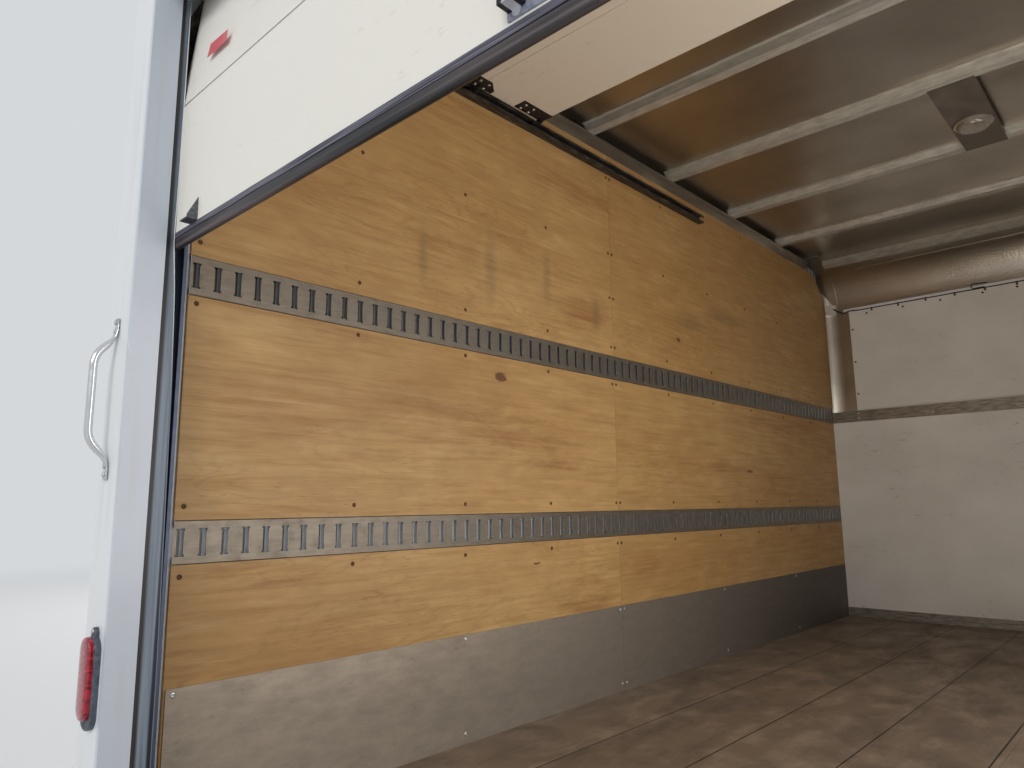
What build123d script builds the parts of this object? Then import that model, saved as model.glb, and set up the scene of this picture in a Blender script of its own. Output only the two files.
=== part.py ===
from build123d import *
import math
import os

# A 14 ft dry-freight box body with a roll-up rear door, as carried by a box truck.
# Millimetres. X is across (right is +X), Y runs from the rear doorway to the front wall, Z is up.
# The origin is at the middle of the footprint, at the bottom of the two long sills.

# Driving sizes of the whole body
LENGTH = 4267          # 14 ft, rear frame to front skin
HALF_WIDTH = 1219      # half of 96 in outside
HALF_INSIDE = 1164     # half the width between the wall linings
HANDLE_REACH = 51      # the grab handles stand this far behind the rear frame
REAR = -(LENGTH - HANDLE_REACH) / 2
FRONT = REAR + LENGTH

# Heights
SILL_H = 102           # 4 in long sills
CROSS_H = 76           # 3 in cross members
PLANK_T = 28.6         # 1 1/8 in hardwood
FLOOR = SILL_H + CROSS_H + PLANK_T
BOW_BOTTOM = FLOOR + 2172
BOW_DEPTH = 30
ROOF_T = 2
ROOF_TOP = BOW_BOTTOM + BOW_DEPTH + ROOF_T
ROOF_RADIUS = 305      # 12 in radius where the roof turns down to the front wall
CURVE_Y = FRONT - ROOF_RADIUS
CURVE_Z = ROOF_TOP - ROOF_RADIUS
FRAME_TOP = ROOF_TOP + 4       # top of the rear frame and of the roof edge rails
EDGE_RAIL_FOOT = ROOF_TOP - 95

# Rear frame and doorway
FRAME_DEPTH = 140
FRAME_T = 5
HALF_DOORWAY = 1102
JAMB_DEPTH = 60
DOORWAY_TOP = FLOOR + 1854

# Walls
WALL_BACK = 1173.5     # inner face of the wall panels, behind the lining
SKIN = HALF_WIDTH - 2  # outer face of the wall skin, inside the rails
BOTTOM_RAIL_TOP = FLOOR + 56
LINING_TOP = FLOOR + 2125
LINING_REAR = REAR + FRAME_DEPTH + 1
LINING_FRONT = FRONT - 37
SHEET_JOINT = REAR + 1826
SHEET_GAP = 1          # between neighbouring boards, planks and plates
KICK_H = 305           # 12 in steel kick plates
KICK_T = 3
LOWER_PANEL_FACE = FRONT - 53
SIDE_END = LOWER_PANEL_FACE - 8  # kick plates and cargo rails stop short of the front wall
UPPER_PANEL_FACE = FRONT - 35
CORNER_RADIUS = 127    # 5 in radius of the front corner posts
CORNER_T = 4
CORNER_X = HALF_WIDTH - CORNER_RADIUS
CORNER_Y = FRONT - CORNER_RADIUS
CORNER_WEB_X = CORNER_X - 37
POST_FLANGE_X = HALF_INSIDE - 144  # where the corner post's flange ends beside the upper panel
PANEL_T = 12
UPPER_PANEL_T = 6
LOWER_PANEL_TOP = FLOOR + 1180
RECESS_FOOT = FLOOR + 1200         # the front wall is thinner from here up
MID_RAIL_TOP = FLOOR + 1239
CAP_FOOT = FLOOR + 1876            # top of the upper front panel and foot of the cast corners

# Roof bows under the level roof, and the two cross pieces under its front radius
BOW_PLACES = (REAR + 1702, REAR + 2316, REAR + 2936, REAR + 3533)
LEAN_BOW_Y = REAR + 4075
RADIUS_BAR_Y = REAR + 4168

# Slotted cargo rails: 2 in slot pitch, rails centred 24 in and 48 in above the floor
RAIL_HEIGHTS = (FLOOR + 610, FLOOR + 1219)
RAIL_FLANGE_H = 127
RAIL_FACE_H = 94
RAIL_DEPTH = 12.7
RAIL_T = 2.7
SLOT_PITCH = 50.8
SLOT_COUNT = 80
SLOT_H = 61
SLOT_W = 15.5
SLOT_0 = REAR + 155

# Roll-up door and its tracks
TRACK_W = 36
TRACK_DEPTH = 30
TRACK_T = 2.5
TRACK_LIP = 8
TRACK_RADIUS = 305
TRACK_Y = REAR + 103
TRACK_Z = FLOOR + 2058
TRACK_END = REAR + 2593
DOOR_HALF = 1118
DOOR_T = 16
HINGE_GAP = 8
DOOR_FACE = TRACK_Y - HINGE_GAP - DOOR_T
DOOR_BOTTOM = FLOOR + 1274
TOP_SECTION = 321
SECTION = 315
SECTION_COUNT = 6

# Lamp wiring along the top of the upper panel: right half of its route as (x, y, z), from inside the
# cast corner's boss, down across the corner post's flange and on to the panel's edge
CABLE_R = 3.5
CABLE_Z = CAP_FOOT + CABLE_R
CABLE_BENDS = (
    (1110, FRONT - 24, CABLE_Z + 33), (1074, FRONT - 33, CABLE_Z + 7), (1046, FRONT - 38, CABLE_Z - 7),
    (1012, FRONT - 37, CABLE_Z + 4), (955, UPPER_PANEL_FACE + 2, CABLE_Z),
)


def block(x0, x1, y0, y1, z0, z1):
    """Box between two corners."""
    middle = Pos((x0 + x1) / 2, (y0 + y1) / 2, (z0 + z1) / 2)
    return middle * Box(abs(x1 - x0), abs(y1 - y0), abs(z1 - z0))


def along_y(outline, y0, y1):
    """Straight run along Y of an outline of (x, z) points."""
    wire = Polyline([(x, y0, z) for x, z in outline], close=True)
    return extrude(make_face(wire), amount=y1 - y0, dir=(0, 1, 0))


def along_x(outline, x0, x1):
    """Straight run along X of an outline of (y, z) points."""
    wire = Polyline([(x0, y, z) for y, z in outline], close=True)
    return extrude(make_face(wire), amount=x1 - x0, dir=(1, 0, 0))


def along_z(outline, z0, z1):
    """Straight run along Z of an outline of (x, y) points."""
    wire = Polyline([(x, y, z0) for x, y in outline], close=True)
    return extrude(make_face(wire), amount=z1 - z0, dir=(0, 0, 1))


def other_side(shape):
    """The mirror image of a piece, on the other side of the body."""
    return mirror(shape, about=Plane.YZ)


def both_sides(shape):
    """The piece and its mirror image, as solids of one node."""
    return Compound(children=[*shape.solids(), *other_side(shape).solids()])


def group(pieces):
    """Like pieces that do not touch, as one node."""
    return Compound(children=[solid for piece in pieces for solid in piece.solids()])


def prism(radius, sides, x0, x1):
    """Straight many-sided bar along X about the origin's axis."""
    return Pos(x0, 0, 0) * (Plane.YZ * extrude(RegularPolygon(radius, sides), amount=x1 - x0))


def channel(y, height, flange, thick, x0, x1, z0):
    """Rolled channel lying along X with its web at y and its flanges towards +Y."""
    outline = [
        (y, z0), (y + flange, z0), (y + flange, z0 + thick), (y + thick, z0 + thick),
        (y + thick, z0 + height - thick), (y + flange, z0 + height - thick),
        (y + flange, z0 + height), (y, z0 + height),
    ]
    return along_x(outline, x0, x1)


def long_sills():
    """Two channels, flanges inwards, at the width of a truck frame, with tie-down holes."""
    web, flange, thick = 432, 44, 7
    y0, y1 = REAR + 60, FRONT - 60
    hole_r, hole_pitch, hole_depth, tie_downs = 7, 100, 30, (REAR + 400, FRONT - 500)
    outline = [
        (web, 0), (web, SILL_H), (web - flange, SILL_H), (web - flange, SILL_H - thick),
        (web - thick, SILL_H - thick), (web - thick, thick), (web - flange, thick), (web - flange, 0),
    ]
    sill = along_y(outline, y0, y1)
    for y in tie_downs:
        for step in (-hole_pitch / 2, hole_pitch / 2):
            hole = Rotation(0, 90, 0) * Cylinder(hole_r, hole_depth)
            sill -= Pos(web - thick / 2, y + step, SILL_H / 2) * hole
    return both_sides(sill)


def cross_members():
    """Channels across the long sills that carry the floor."""
    count, flange, thick = 10, 35, 5
    first, last = REAR + 330, FRONT - 240
    step = (last - first) / (count - 1)
    reach = HALF_WIDTH - 7
    return group(
        channel(first + i * step, CROSS_H, flange, thick, -reach, reach, SILL_H) for i in range(count)
    )


def floor_planks():
    """Hardwood planks along the body."""
    seams_inside = (-891, -587, -284, 20, 323, 627, 931)
    edges = (-WALL_BACK + 1, *seams_inside, WALL_BACK - 1)
    y0, y1, gap = LINING_REAR, LOWER_PANEL_FACE - 1, SHEET_GAP / 2
    return group(
        block(a + gap, b - gap, y0, y1, FLOOR - PLANK_T, FLOOR) for a, b in zip(edges, edges[1:])
    )


def rear_sill():
    """Steel threshold across the back, its top flush with the floor."""
    lip, thick = 30, 6
    outline = [
        (REAR, SILL_H), (REAR + lip, SILL_H), (REAR + lip, SILL_H + thick), (REAR + thick, SILL_H + thick),
        (REAR + thick, FLOOR - thick), (REAR + FRAME_DEPTH, FLOOR - thick),
        (REAR + FRAME_DEPTH, FLOOR), (REAR, FLOOR),
    ]
    return along_x(outline, -HALF_WIDTH, HALF_WIDTH)


def bottom_rail():
    """Side rail along the foot of the wall, its shelf carrying the wall."""
    thick = 6
    face = HALF_WIDTH - thick
    outline = [
        (HALF_WIDTH, SILL_H), (HALF_WIDTH, BOTTOM_RAIL_TOP), (face, BOTTOM_RAIL_TOP), (face, FLOOR),
        (WALL_BACK, FLOOR), (WALL_BACK, FLOOR - thick), (face, FLOOR - thick), (face, SILL_H),
    ]
    return along_y(outline, REAR + FRAME_DEPTH, CORNER_Y)


def roof_outline(inset, y0):
    """Outline in Y and Z under the roof: level, then round the front radius, inset from the skin."""
    radius = ROOF_RADIUS - inset
    top = ROOF_TOP - inset
    slant = radius * math.sqrt(0.5)
    level = Line((0, y0, top), (0, CURVE_Y, top))
    turn = ThreePointArc((0, CURVE_Y, top), (0, CURVE_Y + slant, CURVE_Z + slant),
                         (0, CURVE_Y + radius, CURVE_Z))
    down = Line((0, CURVE_Y + radius, CURVE_Z), (0, CURVE_Y + radius, FLOOR))
    back = Line((0, CURVE_Y + radius, FLOOR), (0, y0, FLOOR))
    up = Line((0, y0, FLOOR), (0, y0, top))
    return make_face([level, turn, down, back, up])


def under_roof(inset, x0, x1, y0=REAR + FRAME_DEPTH):
    """Solid of everything under the roof line, for trimming pieces to it."""
    return Pos(x0, 0, 0) * extrude(roof_outline(inset, y0), amount=x1 - x0, dir=(1, 0, 0))


def side_wall():
    """Skin and posts of one side as one panel, its front top corner following the roof radius."""
    rail_face, top, inset = HALF_WIDTH - 6, ROOF_TOP - 45, 12
    outline = [
        (WALL_BACK, FLOOR), (rail_face, FLOOR), (rail_face, BOTTOM_RAIL_TOP),
        (SKIN, BOTTOM_RAIL_TOP), (SKIN, EDGE_RAIL_FOOT), (rail_face, EDGE_RAIL_FOOT),
        (rail_face, top), (WALL_BACK, top),
    ]
    panel = along_y(outline, REAR + FRAME_DEPTH, CORNER_Y)
    panel &= under_roof(inset, HALF_INSIDE, HALF_WIDTH)
    return panel - block(rail_face - 1, HALF_WIDTH, CURVE_Y, FRONT, CAP_FOOT, ROOF_TOP)


def top_rail():
    """Roof edge rail: outer web, ledge under the roof bows and a leg down behind the door track."""
    web, lip_x, ledge_x = HALF_WIDTH - 5, 1150, 1146
    leg, leg_back = HALF_INSIDE + 2, HALF_INSIDE + 6
    ledge = BOW_BOTTOM - 4
    outline = [
        (HALF_WIDTH, EDGE_RAIL_FOOT), (HALF_WIDTH, FRAME_TOP), (lip_x, FRAME_TOP), (lip_x, ROOF_TOP),
        (web, ROOF_TOP), (web, BOW_BOTTOM), (ledge_x, BOW_BOTTOM), (ledge_x, ledge), (leg, ledge),
        (leg, LINING_TOP), (leg_back, LINING_TOP), (leg_back, ledge), (web, ledge), (web, EDGE_RAIL_FOOT),
    ]
    return along_y(outline, REAR + FRAME_DEPTH, CURVE_Y)


def lining(side_rails=RAIL_HEIGHTS):
    """Plywood boards of one wall: two sheets long, three boards high, notched round the rails."""
    gap, inset = SHEET_GAP / 2, FRONT - LINING_FRONT
    half_face, half_notch = RAIL_FACE_H / 2 + SHEET_GAP, RAIL_FLANGE_H / 2 + SHEET_GAP
    edges = [FLOOR]
    for height in side_rails:
        edges += [height - half_face, height + half_face]
    edges.append(LINING_TOP)
    corner = Pos(0, 0, LINING_TOP - (ROOF_TOP - inset)) * under_roof(inset, 0, HALF_WIDTH)
    boards = []
    for z0, z1 in zip(edges[::2], edges[1::2]):
        for y0, y1 in ((LINING_REAR, SHEET_JOINT - gap), (SHEET_JOINT + gap, LINING_FRONT)):
            board = block(HALF_INSIDE, WALL_BACK, y0, y1, z0, z1)
            for height in side_rails:
                low, high = height - half_notch, height + half_notch
                board -= block(WALL_BACK - RAIL_T, WALL_BACK, y0, y1, low, high)
            boards.append(board & corner)
    return group(boards)


def kick_plate():
    """Steel kick plates over the foot of the lining, butted at the sheet joint."""
    x0, x1 = HALF_INSIDE - KICK_T, HALF_INSIDE
    top, gap, start = FLOOR + KICK_H, SHEET_GAP / 2, LINING_REAR + 4
    rear = block(x0, x1, start, SHEET_JOINT - gap, FLOOR, top)
    front = block(x0, x1, SHEET_JOINT + gap, SIDE_END, FLOOR, top)
    return group([rear, front])


def slotted_rail(height):
    """Pressed steel cargo rail: a shallow hat section with upright slots at a 2 in pitch."""
    half_flange, half_face, splay = RAIL_FLANGE_H / 2, RAIL_FACE_H / 2, 4
    back, face = WALL_BACK, WALL_BACK - RAIL_DEPTH
    outline = [
        (back, -half_flange), (back, -half_face + RAIL_T), (face + RAIL_T, -half_face + splay + RAIL_T),
        (face + RAIL_T, half_face - splay - RAIL_T), (back, half_face - RAIL_T), (back, half_flange),
        (back - RAIL_T, half_flange), (back - RAIL_T, half_face), (face, half_face - splay),
        (face, -half_face + splay), (back - RAIL_T, -half_face), (back - RAIL_T, -half_flange),
    ]
    rail = along_y([(x, z + height) for x, z in outline], LINING_REAR, SIDE_END)
    slot = Box(3 * RAIL_T, SLOT_W, SLOT_H)
    slots = [Pos(face, SLOT_0 + i * SLOT_PITCH, height) * slot for i in range(SLOT_COUNT)]
    return rail - slots


def on_radius(piece, y, inset):
    """A piece drawn level, hung under the front radius at y with its face square to the sheet."""
    radius = ROOF_RADIUS - ROOF_T
    sink = math.asin((y - CURVE_Y) / radius)
    reach = radius - inset
    place = Pos(0, CURVE_Y + reach * math.sin(sink), CURVE_Z + reach * math.cos(sink))
    return place * (Rotation(-math.degrees(sink), 0, 0) * piece)


def roof_bow(y):
    """Hat-section bow with its crown down and its flanges up against the roof skin."""
    crown, shoulder, flange, thick, reach = 22, 30, 46, 2, 1160
    depth = BOW_DEPTH
    outline = [
        (-crown, 0), (crown, 0), (shoulder, depth - thick), (flange, depth - thick), (flange, depth),
        (shoulder - thick, depth), (crown - thick, thick), (-crown + thick, thick),
        (-shoulder + thick, depth), (-flange, depth), (-flange, depth - thick), (-shoulder, depth - thick),
    ]
    return Pos(0, y, BOW_BOTTOM) * along_x(outline, -reach, reach)


def roof_bows():
    """Four bows under the level roof and one that leans where the front radius begins."""
    crown, foot, clearance = 22, 28, 1.4
    depth, reach = BOW_DEPTH - 1, CORNER_X - 1
    last = along_x([(-crown, 0), (crown, 0), (foot, depth), (-foot, depth)], -reach, reach)
    return group([roof_bow(y) for y in BOW_PLACES] + [on_radius(last, LEAN_BOW_Y, depth + clearance)])


def front_radius_bar():
    """Flat bar across the front radius of the roof, ahead of the leaning bow."""
    depth, half_w, half_run, clearance = 10, 13, 930, 0.3
    bar = block(-half_run, half_run, -half_w, half_w, 0, depth)
    return on_radius(bar, RADIUS_BAR_Y, depth + clearance)


def roof_skin():
    """Roof sheet, level and then round the front radius down to the front wall."""
    wing = HALF_WIDTH - 6
    sheet = under_roof(0, -CORNER_X, CORNER_X) - under_roof(ROOF_T, -HALF_WIDTH, HALF_WIDTH, REAR)
    sheet -= block(-HALF_WIDTH, HALF_WIDTH, REAR, FRONT + 1, FLOOR - 1, CURVE_Z)
    return sheet + block(-wing, wing, REAR + FRAME_DEPTH, CURVE_Y, ROOF_TOP - ROOF_T, ROOF_TOP)


def front_wall():
    """Outer front panel, thicker below the middle rail where the lower panel stands in."""
    skin, half = FRONT - 2, CORNER_WEB_X - CORNER_T
    lower, upper = LOWER_PANEL_FACE + PANEL_T, UPPER_PANEL_FACE + UPPER_PANEL_T
    outline = [
        (skin, SILL_H), (skin, CURVE_Z), (upper, CURVE_Z), (upper, RECESS_FOOT), (lower, RECESS_FOOT),
        (lower, SILL_H),
    ]
    return along_x(outline, -half, half)


def front_panels():
    """White inner panels of the front wall, the lower one standing in further than the upper."""
    lower_half, upper_half = HALF_INSIDE - 1, POST_FLANGE_X - 4
    lower = block(-lower_half, lower_half, LOWER_PANEL_FACE, LOWER_PANEL_FACE + PANEL_T,
                  FLOOR, LOWER_PANEL_TOP)
    upper = block(-upper_half, upper_half, UPPER_PANEL_FACE, UPPER_PANEL_FACE + UPPER_PANEL_T,
                  MID_RAIL_TOP + 1, CAP_FOOT)
    return lower, upper


def front_mid_rail():
    """Aluminium rail across the front wall between the lower and upper panels."""
    face, lip, z0, z1 = LOWER_PANEL_FACE - 6, 4, LOWER_PANEL_TOP - 8, MID_RAIL_TOP
    outline = [
        (face, z0), (face, z1), (UPPER_PANEL_FACE, z1), (UPPER_PANEL_FACE, z1 - lip), (face + lip, z1 - lip),
        (face + lip, z0 + lip), (LOWER_PANEL_FACE, z0 + lip), (LOWER_PANEL_FACE, z0),
    ]
    return along_x(outline, -HALF_INSIDE + 1, HALF_INSIDE - 1)


def front_foot_rail():
    """Flat aluminium strip along the foot of the lower panel."""
    half, thick, height = HALF_INSIDE - 6, 6, 53
    return block(-half, half, LOWER_PANEL_FACE - thick, LOWER_PANEL_FACE, FLOOR, FLOOR + height)


def front_corner_post():
    """Front corner extrusion: a quarter round outside, a web and a flange that the upper panel meets."""
    quarter = Circle(CORNER_RADIUS) - Circle(CORNER_RADIUS - CORNER_T)
    quarter &= Pos(CORNER_RADIUS / 2, CORNER_RADIUS / 2) * Rectangle(CORNER_RADIUS, CORNER_RADIUS)
    post = Pos(CORNER_X, CORNER_Y, SILL_H) * extrude(quarter, amount=CAP_FOOT - SILL_H)
    web = CORNER_WEB_X - CORNER_T
    back = UPPER_PANEL_FACE + 2
    post += block(web, CORNER_X, FRONT - CORNER_T, FRONT, SILL_H, CAP_FOOT)
    post += block(web, CORNER_WEB_X, back, FRONT, RECESS_FOOT, CAP_FOOT)
    return post + block(POST_FLANGE_X, CORNER_WEB_X, back, back + CORNER_T, MID_RAIL_TOP, CAP_FOOT)


def corner_cap():
    """Cast corner where the roof radius meets the corner post, with a boss drilled for the lamp cable."""
    def bulk(inset):
        """Corner column in plan, cut to the roof line."""
        radius = CORNER_RADIUS - inset
        plan = make_face(Polyline([
            (CORNER_X, CURVE_Y), (CORNER_X + radius, CURVE_Y), (CORNER_X + radius, CORNER_Y),
            (CORNER_X, CORNER_Y),
        ], close=True))
        plan += Pos(CORNER_X, CORNER_Y) * Circle(radius)
        plan &= Pos(CORNER_X + ROOF_RADIUS, CORNER_Y) * Rectangle(2 * ROOF_RADIUS, 2 * ROOF_RADIUS)
        column = Pos(0, 0, CAP_FOOT) * extrude(plan, amount=ROOF_TOP - CAP_FOOT + 1)
        return column & under_roof(inset, CORNER_X - 1, HALF_WIDTH + 1, CURVE_Y - 1)

    wall, boss_half, boss_h, boss_turn, boss_x, boss_y = 6, 34, 66, -20, CORNER_X + 36, FRONT - 34
    boss = block(-boss_half, boss_half, 0, CORNER_RADIUS, CAP_FOOT, CAP_FOOT + boss_h)
    boss = Pos(boss_x, boss_y, 0) * (Rotation(0, 0, boss_turn) * boss)
    start, bend = (Vector(*point) for point in CABLE_BENDS[:2])
    hole_r, hole_back, hole_run = CABLE_R + 2, 4, 20
    outwards = (bend - start).normalized()
    drill = Plane(origin=start - outwards * hole_back, z_dir=outwards)
    hole = drill * extrude(RegularPolygon(hole_r, 8), amount=hole_run)
    skirt = block(CORNER_WEB_X - CORNER_T, CORNER_X, FRONT - wall, FRONT, CAP_FOOT, CURVE_Z)
    return bulk(0) - bulk(wall) + ((boss & bulk(0)) - hole) + skirt


def rear_post():
    """Hollow steel post with the door jamb folded inwards, a recess beside the lining and a top plate."""
    recess, recess_y = 8, REAR + FRAME_DEPTH - 16
    outer = [
        (HALF_DOORWAY, REAR), (HALF_WIDTH, REAR), (HALF_WIDTH, REAR + FRAME_DEPTH),
        (HALF_INSIDE + recess, REAR + FRAME_DEPTH), (HALF_INSIDE + recess, recess_y),
        (HALF_INSIDE, recess_y), (HALF_INSIDE, REAR + FRAME_T),
        (HALF_DOORWAY + FRAME_T, REAR + FRAME_T), (HALF_DOORWAY + FRAME_T, REAR + JAMB_DEPTH),
        (HALF_DOORWAY, REAR + JAMB_DEPTH),
    ]
    post = along_z(outer, FLOOR, FRAME_TOP)
    hollow = block(HALF_INSIDE + FRAME_T, HALF_WIDTH - FRAME_T, REAR + FRAME_T,
                   recess_y - FRAME_T, FLOOR - 1, FRAME_TOP - 3 * FRAME_T)
    plate = block(HALF_DOORWAY, HALF_INSIDE + recess, REAR, REAR + FRAME_DEPTH,
                  FRAME_TOP - FRAME_T, FRAME_TOP)
    return post - hollow + plate


def rear_header():
    """Header channel above the doorway, open to the inside."""
    inner, under_top = REAR + FRAME_T, FRAME_TOP - FRAME_T
    outline = [
        (REAR, DOORWAY_TOP), (REAR + JAMB_DEPTH, DOORWAY_TOP), (REAR + JAMB_DEPTH, DOORWAY_TOP + FRAME_T),
        (inner, DOORWAY_TOP + FRAME_T), (inner, under_top), (REAR + FRAME_DEPTH, under_top),
        (REAR + FRAME_DEPTH, FRAME_TOP), (REAR, FRAME_TOP),
    ]
    return along_x(outline, -HALF_DOORWAY, HALF_DOORWAY)


def door_seals():
    """Rubber lips along the two jambs: pressed back by the door above, flared inwards below it."""
    thick = 3
    root = REAR + JAMB_DEPTH
    # Width of the lip beyond the jamb at heights above the floor
    free_edge = [
        (40, 0), (40, 356), (35, 711), (31.5, 940), (24, 1168), (15.5, 1262), (17.5, 1372), (18, 1575),
        (18, DOORWAY_TOP - FLOOR),
    ]
    outline = [(root, DOORWAY_TOP), (root, FLOOR)] + [(root + w, FLOOR + h) for w, h in free_edge]
    return both_sides(along_x(outline, HALF_DOORWAY, HALF_DOORWAY + thick))


def door_track():
    """C-section track: up the rear post, round a 12 in bend and forwards under the roof."""
    back, lip, half = HALF_INSIDE, HALF_INSIDE - TRACK_DEPTH, TRACK_W / 2
    bend_y, bend_z = TRACK_Y + TRACK_RADIUS, TRACK_Z - TRACK_RADIUS
    # Half of the section in x and in distance from the roller line, then its mirror image
    outline = [
        (back, half), (lip, half), (lip, half - TRACK_LIP), (lip + TRACK_T, half - TRACK_LIP),
        (lip + TRACK_T, half - TRACK_T), (back - TRACK_T, half - TRACK_T),
    ]
    outline += [(x, -off) for x, off in reversed(outline)]
    upright = along_z([(x, TRACK_Y + off) for x, off in outline], FLOOR, bend_z)
    level = along_y([(x, TRACK_Z - off) for x, off in outline], bend_y, TRACK_END)
    section = make_face(Polyline([(x, TRACK_Y + off, bend_z) for x, off in outline], close=True))
    bend = revolve(section, axis=Axis((0, bend_y, bend_z), (-1, 0, 0)), revolution_arc=90)
    return upright + bend + level


def door_path(s):
    """Point (y, z) of the roller line, s mm up from the door's bottom."""
    upright = TRACK_Z - TRACK_RADIUS - DOOR_BOTTOM
    quarter = TRACK_RADIUS * math.pi / 2
    if s <= upright:
        return TRACK_Y, DOOR_BOTTOM + s
    if s <= upright + quarter:
        turn = (s - upright) / TRACK_RADIUS
        y = TRACK_Y + TRACK_RADIUS * (1 - math.cos(turn))
        return y, TRACK_Z - TRACK_RADIUS * (1 - math.sin(turn))
    return TRACK_Y + TRACK_RADIUS + s - upright - quarter, TRACK_Z


def door_joints():
    """Distances up the door of its bottom, its five hinge lines and its top."""
    joints = [i * SECTION for i in range(SECTION_COUNT)]
    return joints + [joints[-1] + TOP_SECTION]


def lean(a, b):
    """Turn in degrees, from upright towards the front, of a door section between points a and b."""
    return math.degrees(math.atan2(b[0] - a[0], b[1] - a[1]))


def door_sections():
    """Six panels hung end to end, half up the doorway and half under the roof."""
    gap = 2
    panels = []
    points = [door_path(s) for s in door_joints()]
    for (ya, za), (yb, zb) in zip(points, points[1:]):
        turn = lean((ya, za), (yb, zb))
        height = math.hypot(yb - ya, zb - za) - gap
        panel = Box(2 * DOOR_HALF, DOOR_T, height)
        panel = Pos(0, -HINGE_GAP - DOOR_T / 2, 0) * panel
        panels.append(Pos(0, (ya + yb) / 2, (za + zb) / 2) * (Rotation(-turn, 0, 0) * panel))
    return group(panels)


def door_bottom_rail():
    """Aluminium channel that caps the door's bottom edge and holds its rubber."""
    thick, base, height = 1.5, 2, 11
    face, back = DOOR_FACE, DOOR_FACE + DOOR_T
    foot, top = DOOR_BOTTOM - base, DOOR_BOTTOM + height
    outline = [
        (face - thick, foot), (back + thick, foot), (back + thick, top), (back, top), (back, DOOR_BOTTOM),
        (face, DOOR_BOTTOM), (face, top), (face - thick, top),
    ]
    return along_x(outline, -DOOR_HALF, DOOR_HALF)


def door_bottom_seal():
    """Rubber bulb under the door's bottom edge, round below."""
    radius, height = DOOR_T / 2, 22
    top = DOOR_BOTTOM - 2
    middle = top - height + radius
    y0, y1 = DOOR_FACE, DOOR_FACE + DOOR_T
    edges = [
        Line((0, y0, middle), (0, y0, top)),
        Line((0, y0, top), (0, y1, top)),
        Line((0, y1, top), (0, y1, middle)),
        ThreePointArc((0, y1, middle), (0, y0 + radius, middle - radius), (0, y0, middle)),
    ]
    strip = extrude(make_face(edges), amount=2 * DOOR_HALF, dir=(1, 0, 0))
    return Pos(-DOOR_HALF, 0, 0) * strip


def door_corner_bracket():
    """Pressed bracket on the outside of the door's bottom corner: a leaf, a shelf and a holed gusset."""
    x, width, reach, thick, z = 994, 36, 22, 3, DOOR_BOTTOM + 12
    gusset_h, toe_h, leaf_h, hole_r, hole_h = 52, 8, 30, 5.5, 13
    edge = DOOR_FACE - reach
    outline = [(DOOR_FACE, z), (DOOR_FACE, z + gusset_h), (edge, z + toe_h), (edge, z)]
    gusset = along_x(outline, x, x + thick)
    gusset -= Pos(0, DOOR_FACE - reach / 2, z + hole_h) * prism(hole_r, 8, x - 1, x + thick + 1)
    shelf = block(x, x + width, edge, DOOR_FACE, z, z + thick)
    return gusset + shelf + block(x, x + width, DOOR_FACE - thick, DOOR_FACE, z, z + leaf_h)


def door_rollers():
    """Hinges at every joint of the door and brackets at its ends, each with a roller in the track."""
    width, leaf_h, leaf_t, knuckle_w, carrier_h = 51, 60, 3, 16, 12
    shoulder_h, toe_w, toe_set = 22, 16, 4
    plate_foot, plate_top, plate_set, bottom_rise, top_set = -10, 135, 6, 22, 10
    x1 = DOOR_HALF - 2
    x0 = x1 - width
    knuckle_x = x1 - knuckle_w
    roller_x = HALF_INSIDE - TRACK_DEPTH + TRACK_T + 2
    # Knuckle, stem and roller: radius, sides, from, to along X
    turned = [(7, 6, knuckle_x, x1), (4, 4, x1 - 2, roller_x + 2), (13, 10, roller_x, roller_x + 12)]
    axle = [prism(*row) for row in turned]
    carrier = block(knuckle_x, x1, leaf_t - HINGE_GAP, 0, 0, carrier_h)

    def leaf(points):
        """Plate on the door's inner face from its (x, z) points, z from the hinge line."""
        return Pos(0, -HINGE_GAP, 0) * along_y(points, 0, leaf_t)

    toe = x1 - toe_set
    below = leaf([(x0, -leaf_h), (x1, -leaf_h), (x1, 0), (x0, 0)])
    above = leaf([(x0, 0), (x1, 0), (toe, leaf_h), (toe - toe_w, leaf_h), (x0, shoulder_h)])
    a, b = x0 - plate_set, x1 - plate_set
    end_plate = leaf([(a, plate_foot), (b, plate_foot), (b, plate_top), (a, plate_top)])
    points = [door_path(s) for s in door_joints()]
    turns = [lean(*pair) for pair in zip(points, points[1:])]
    pieces = []
    for (y, z), turn_below, turn_above in zip(points[1:-1], turns, turns[1:]):
        hinge = Rotation(-turn_above, 0, 0) * (above + carrier) + Rotation(-turn_below, 0, 0) * below
        pieces.append(Pos(0, y, z) * sum(axle, start=hinge))
    bracket = sum(axle, start=end_plate + carrier)
    (y, z), (y_end, z_end) = points[0], points[-1]
    pieces.append(Pos(0, y, z + bottom_rise) * bracket)
    top = mirror(bracket, about=Plane.XY)
    pieces.append(Pos(0, y_end - top_set, z_end) * (Rotation(-turns[-1], 0, 0) * top))
    return group(pieces)


def counterbalance():
    """Spring tube with a cable drum at each end, under the header above the bend of the door."""
    y, z, sides = REAR + 72, ROOF_TOP - 72, 24
    shaft_r, drum_r, drum_x, drum_w = 30, 52, 1038, 44
    shaft = prism(shaft_r, sides, -drum_x, drum_x)
    drum = prism(drum_r, sides, drum_x, drum_x + drum_w)
    return Pos(0, y, z) * (shaft + drum + other_side(drum))


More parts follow.
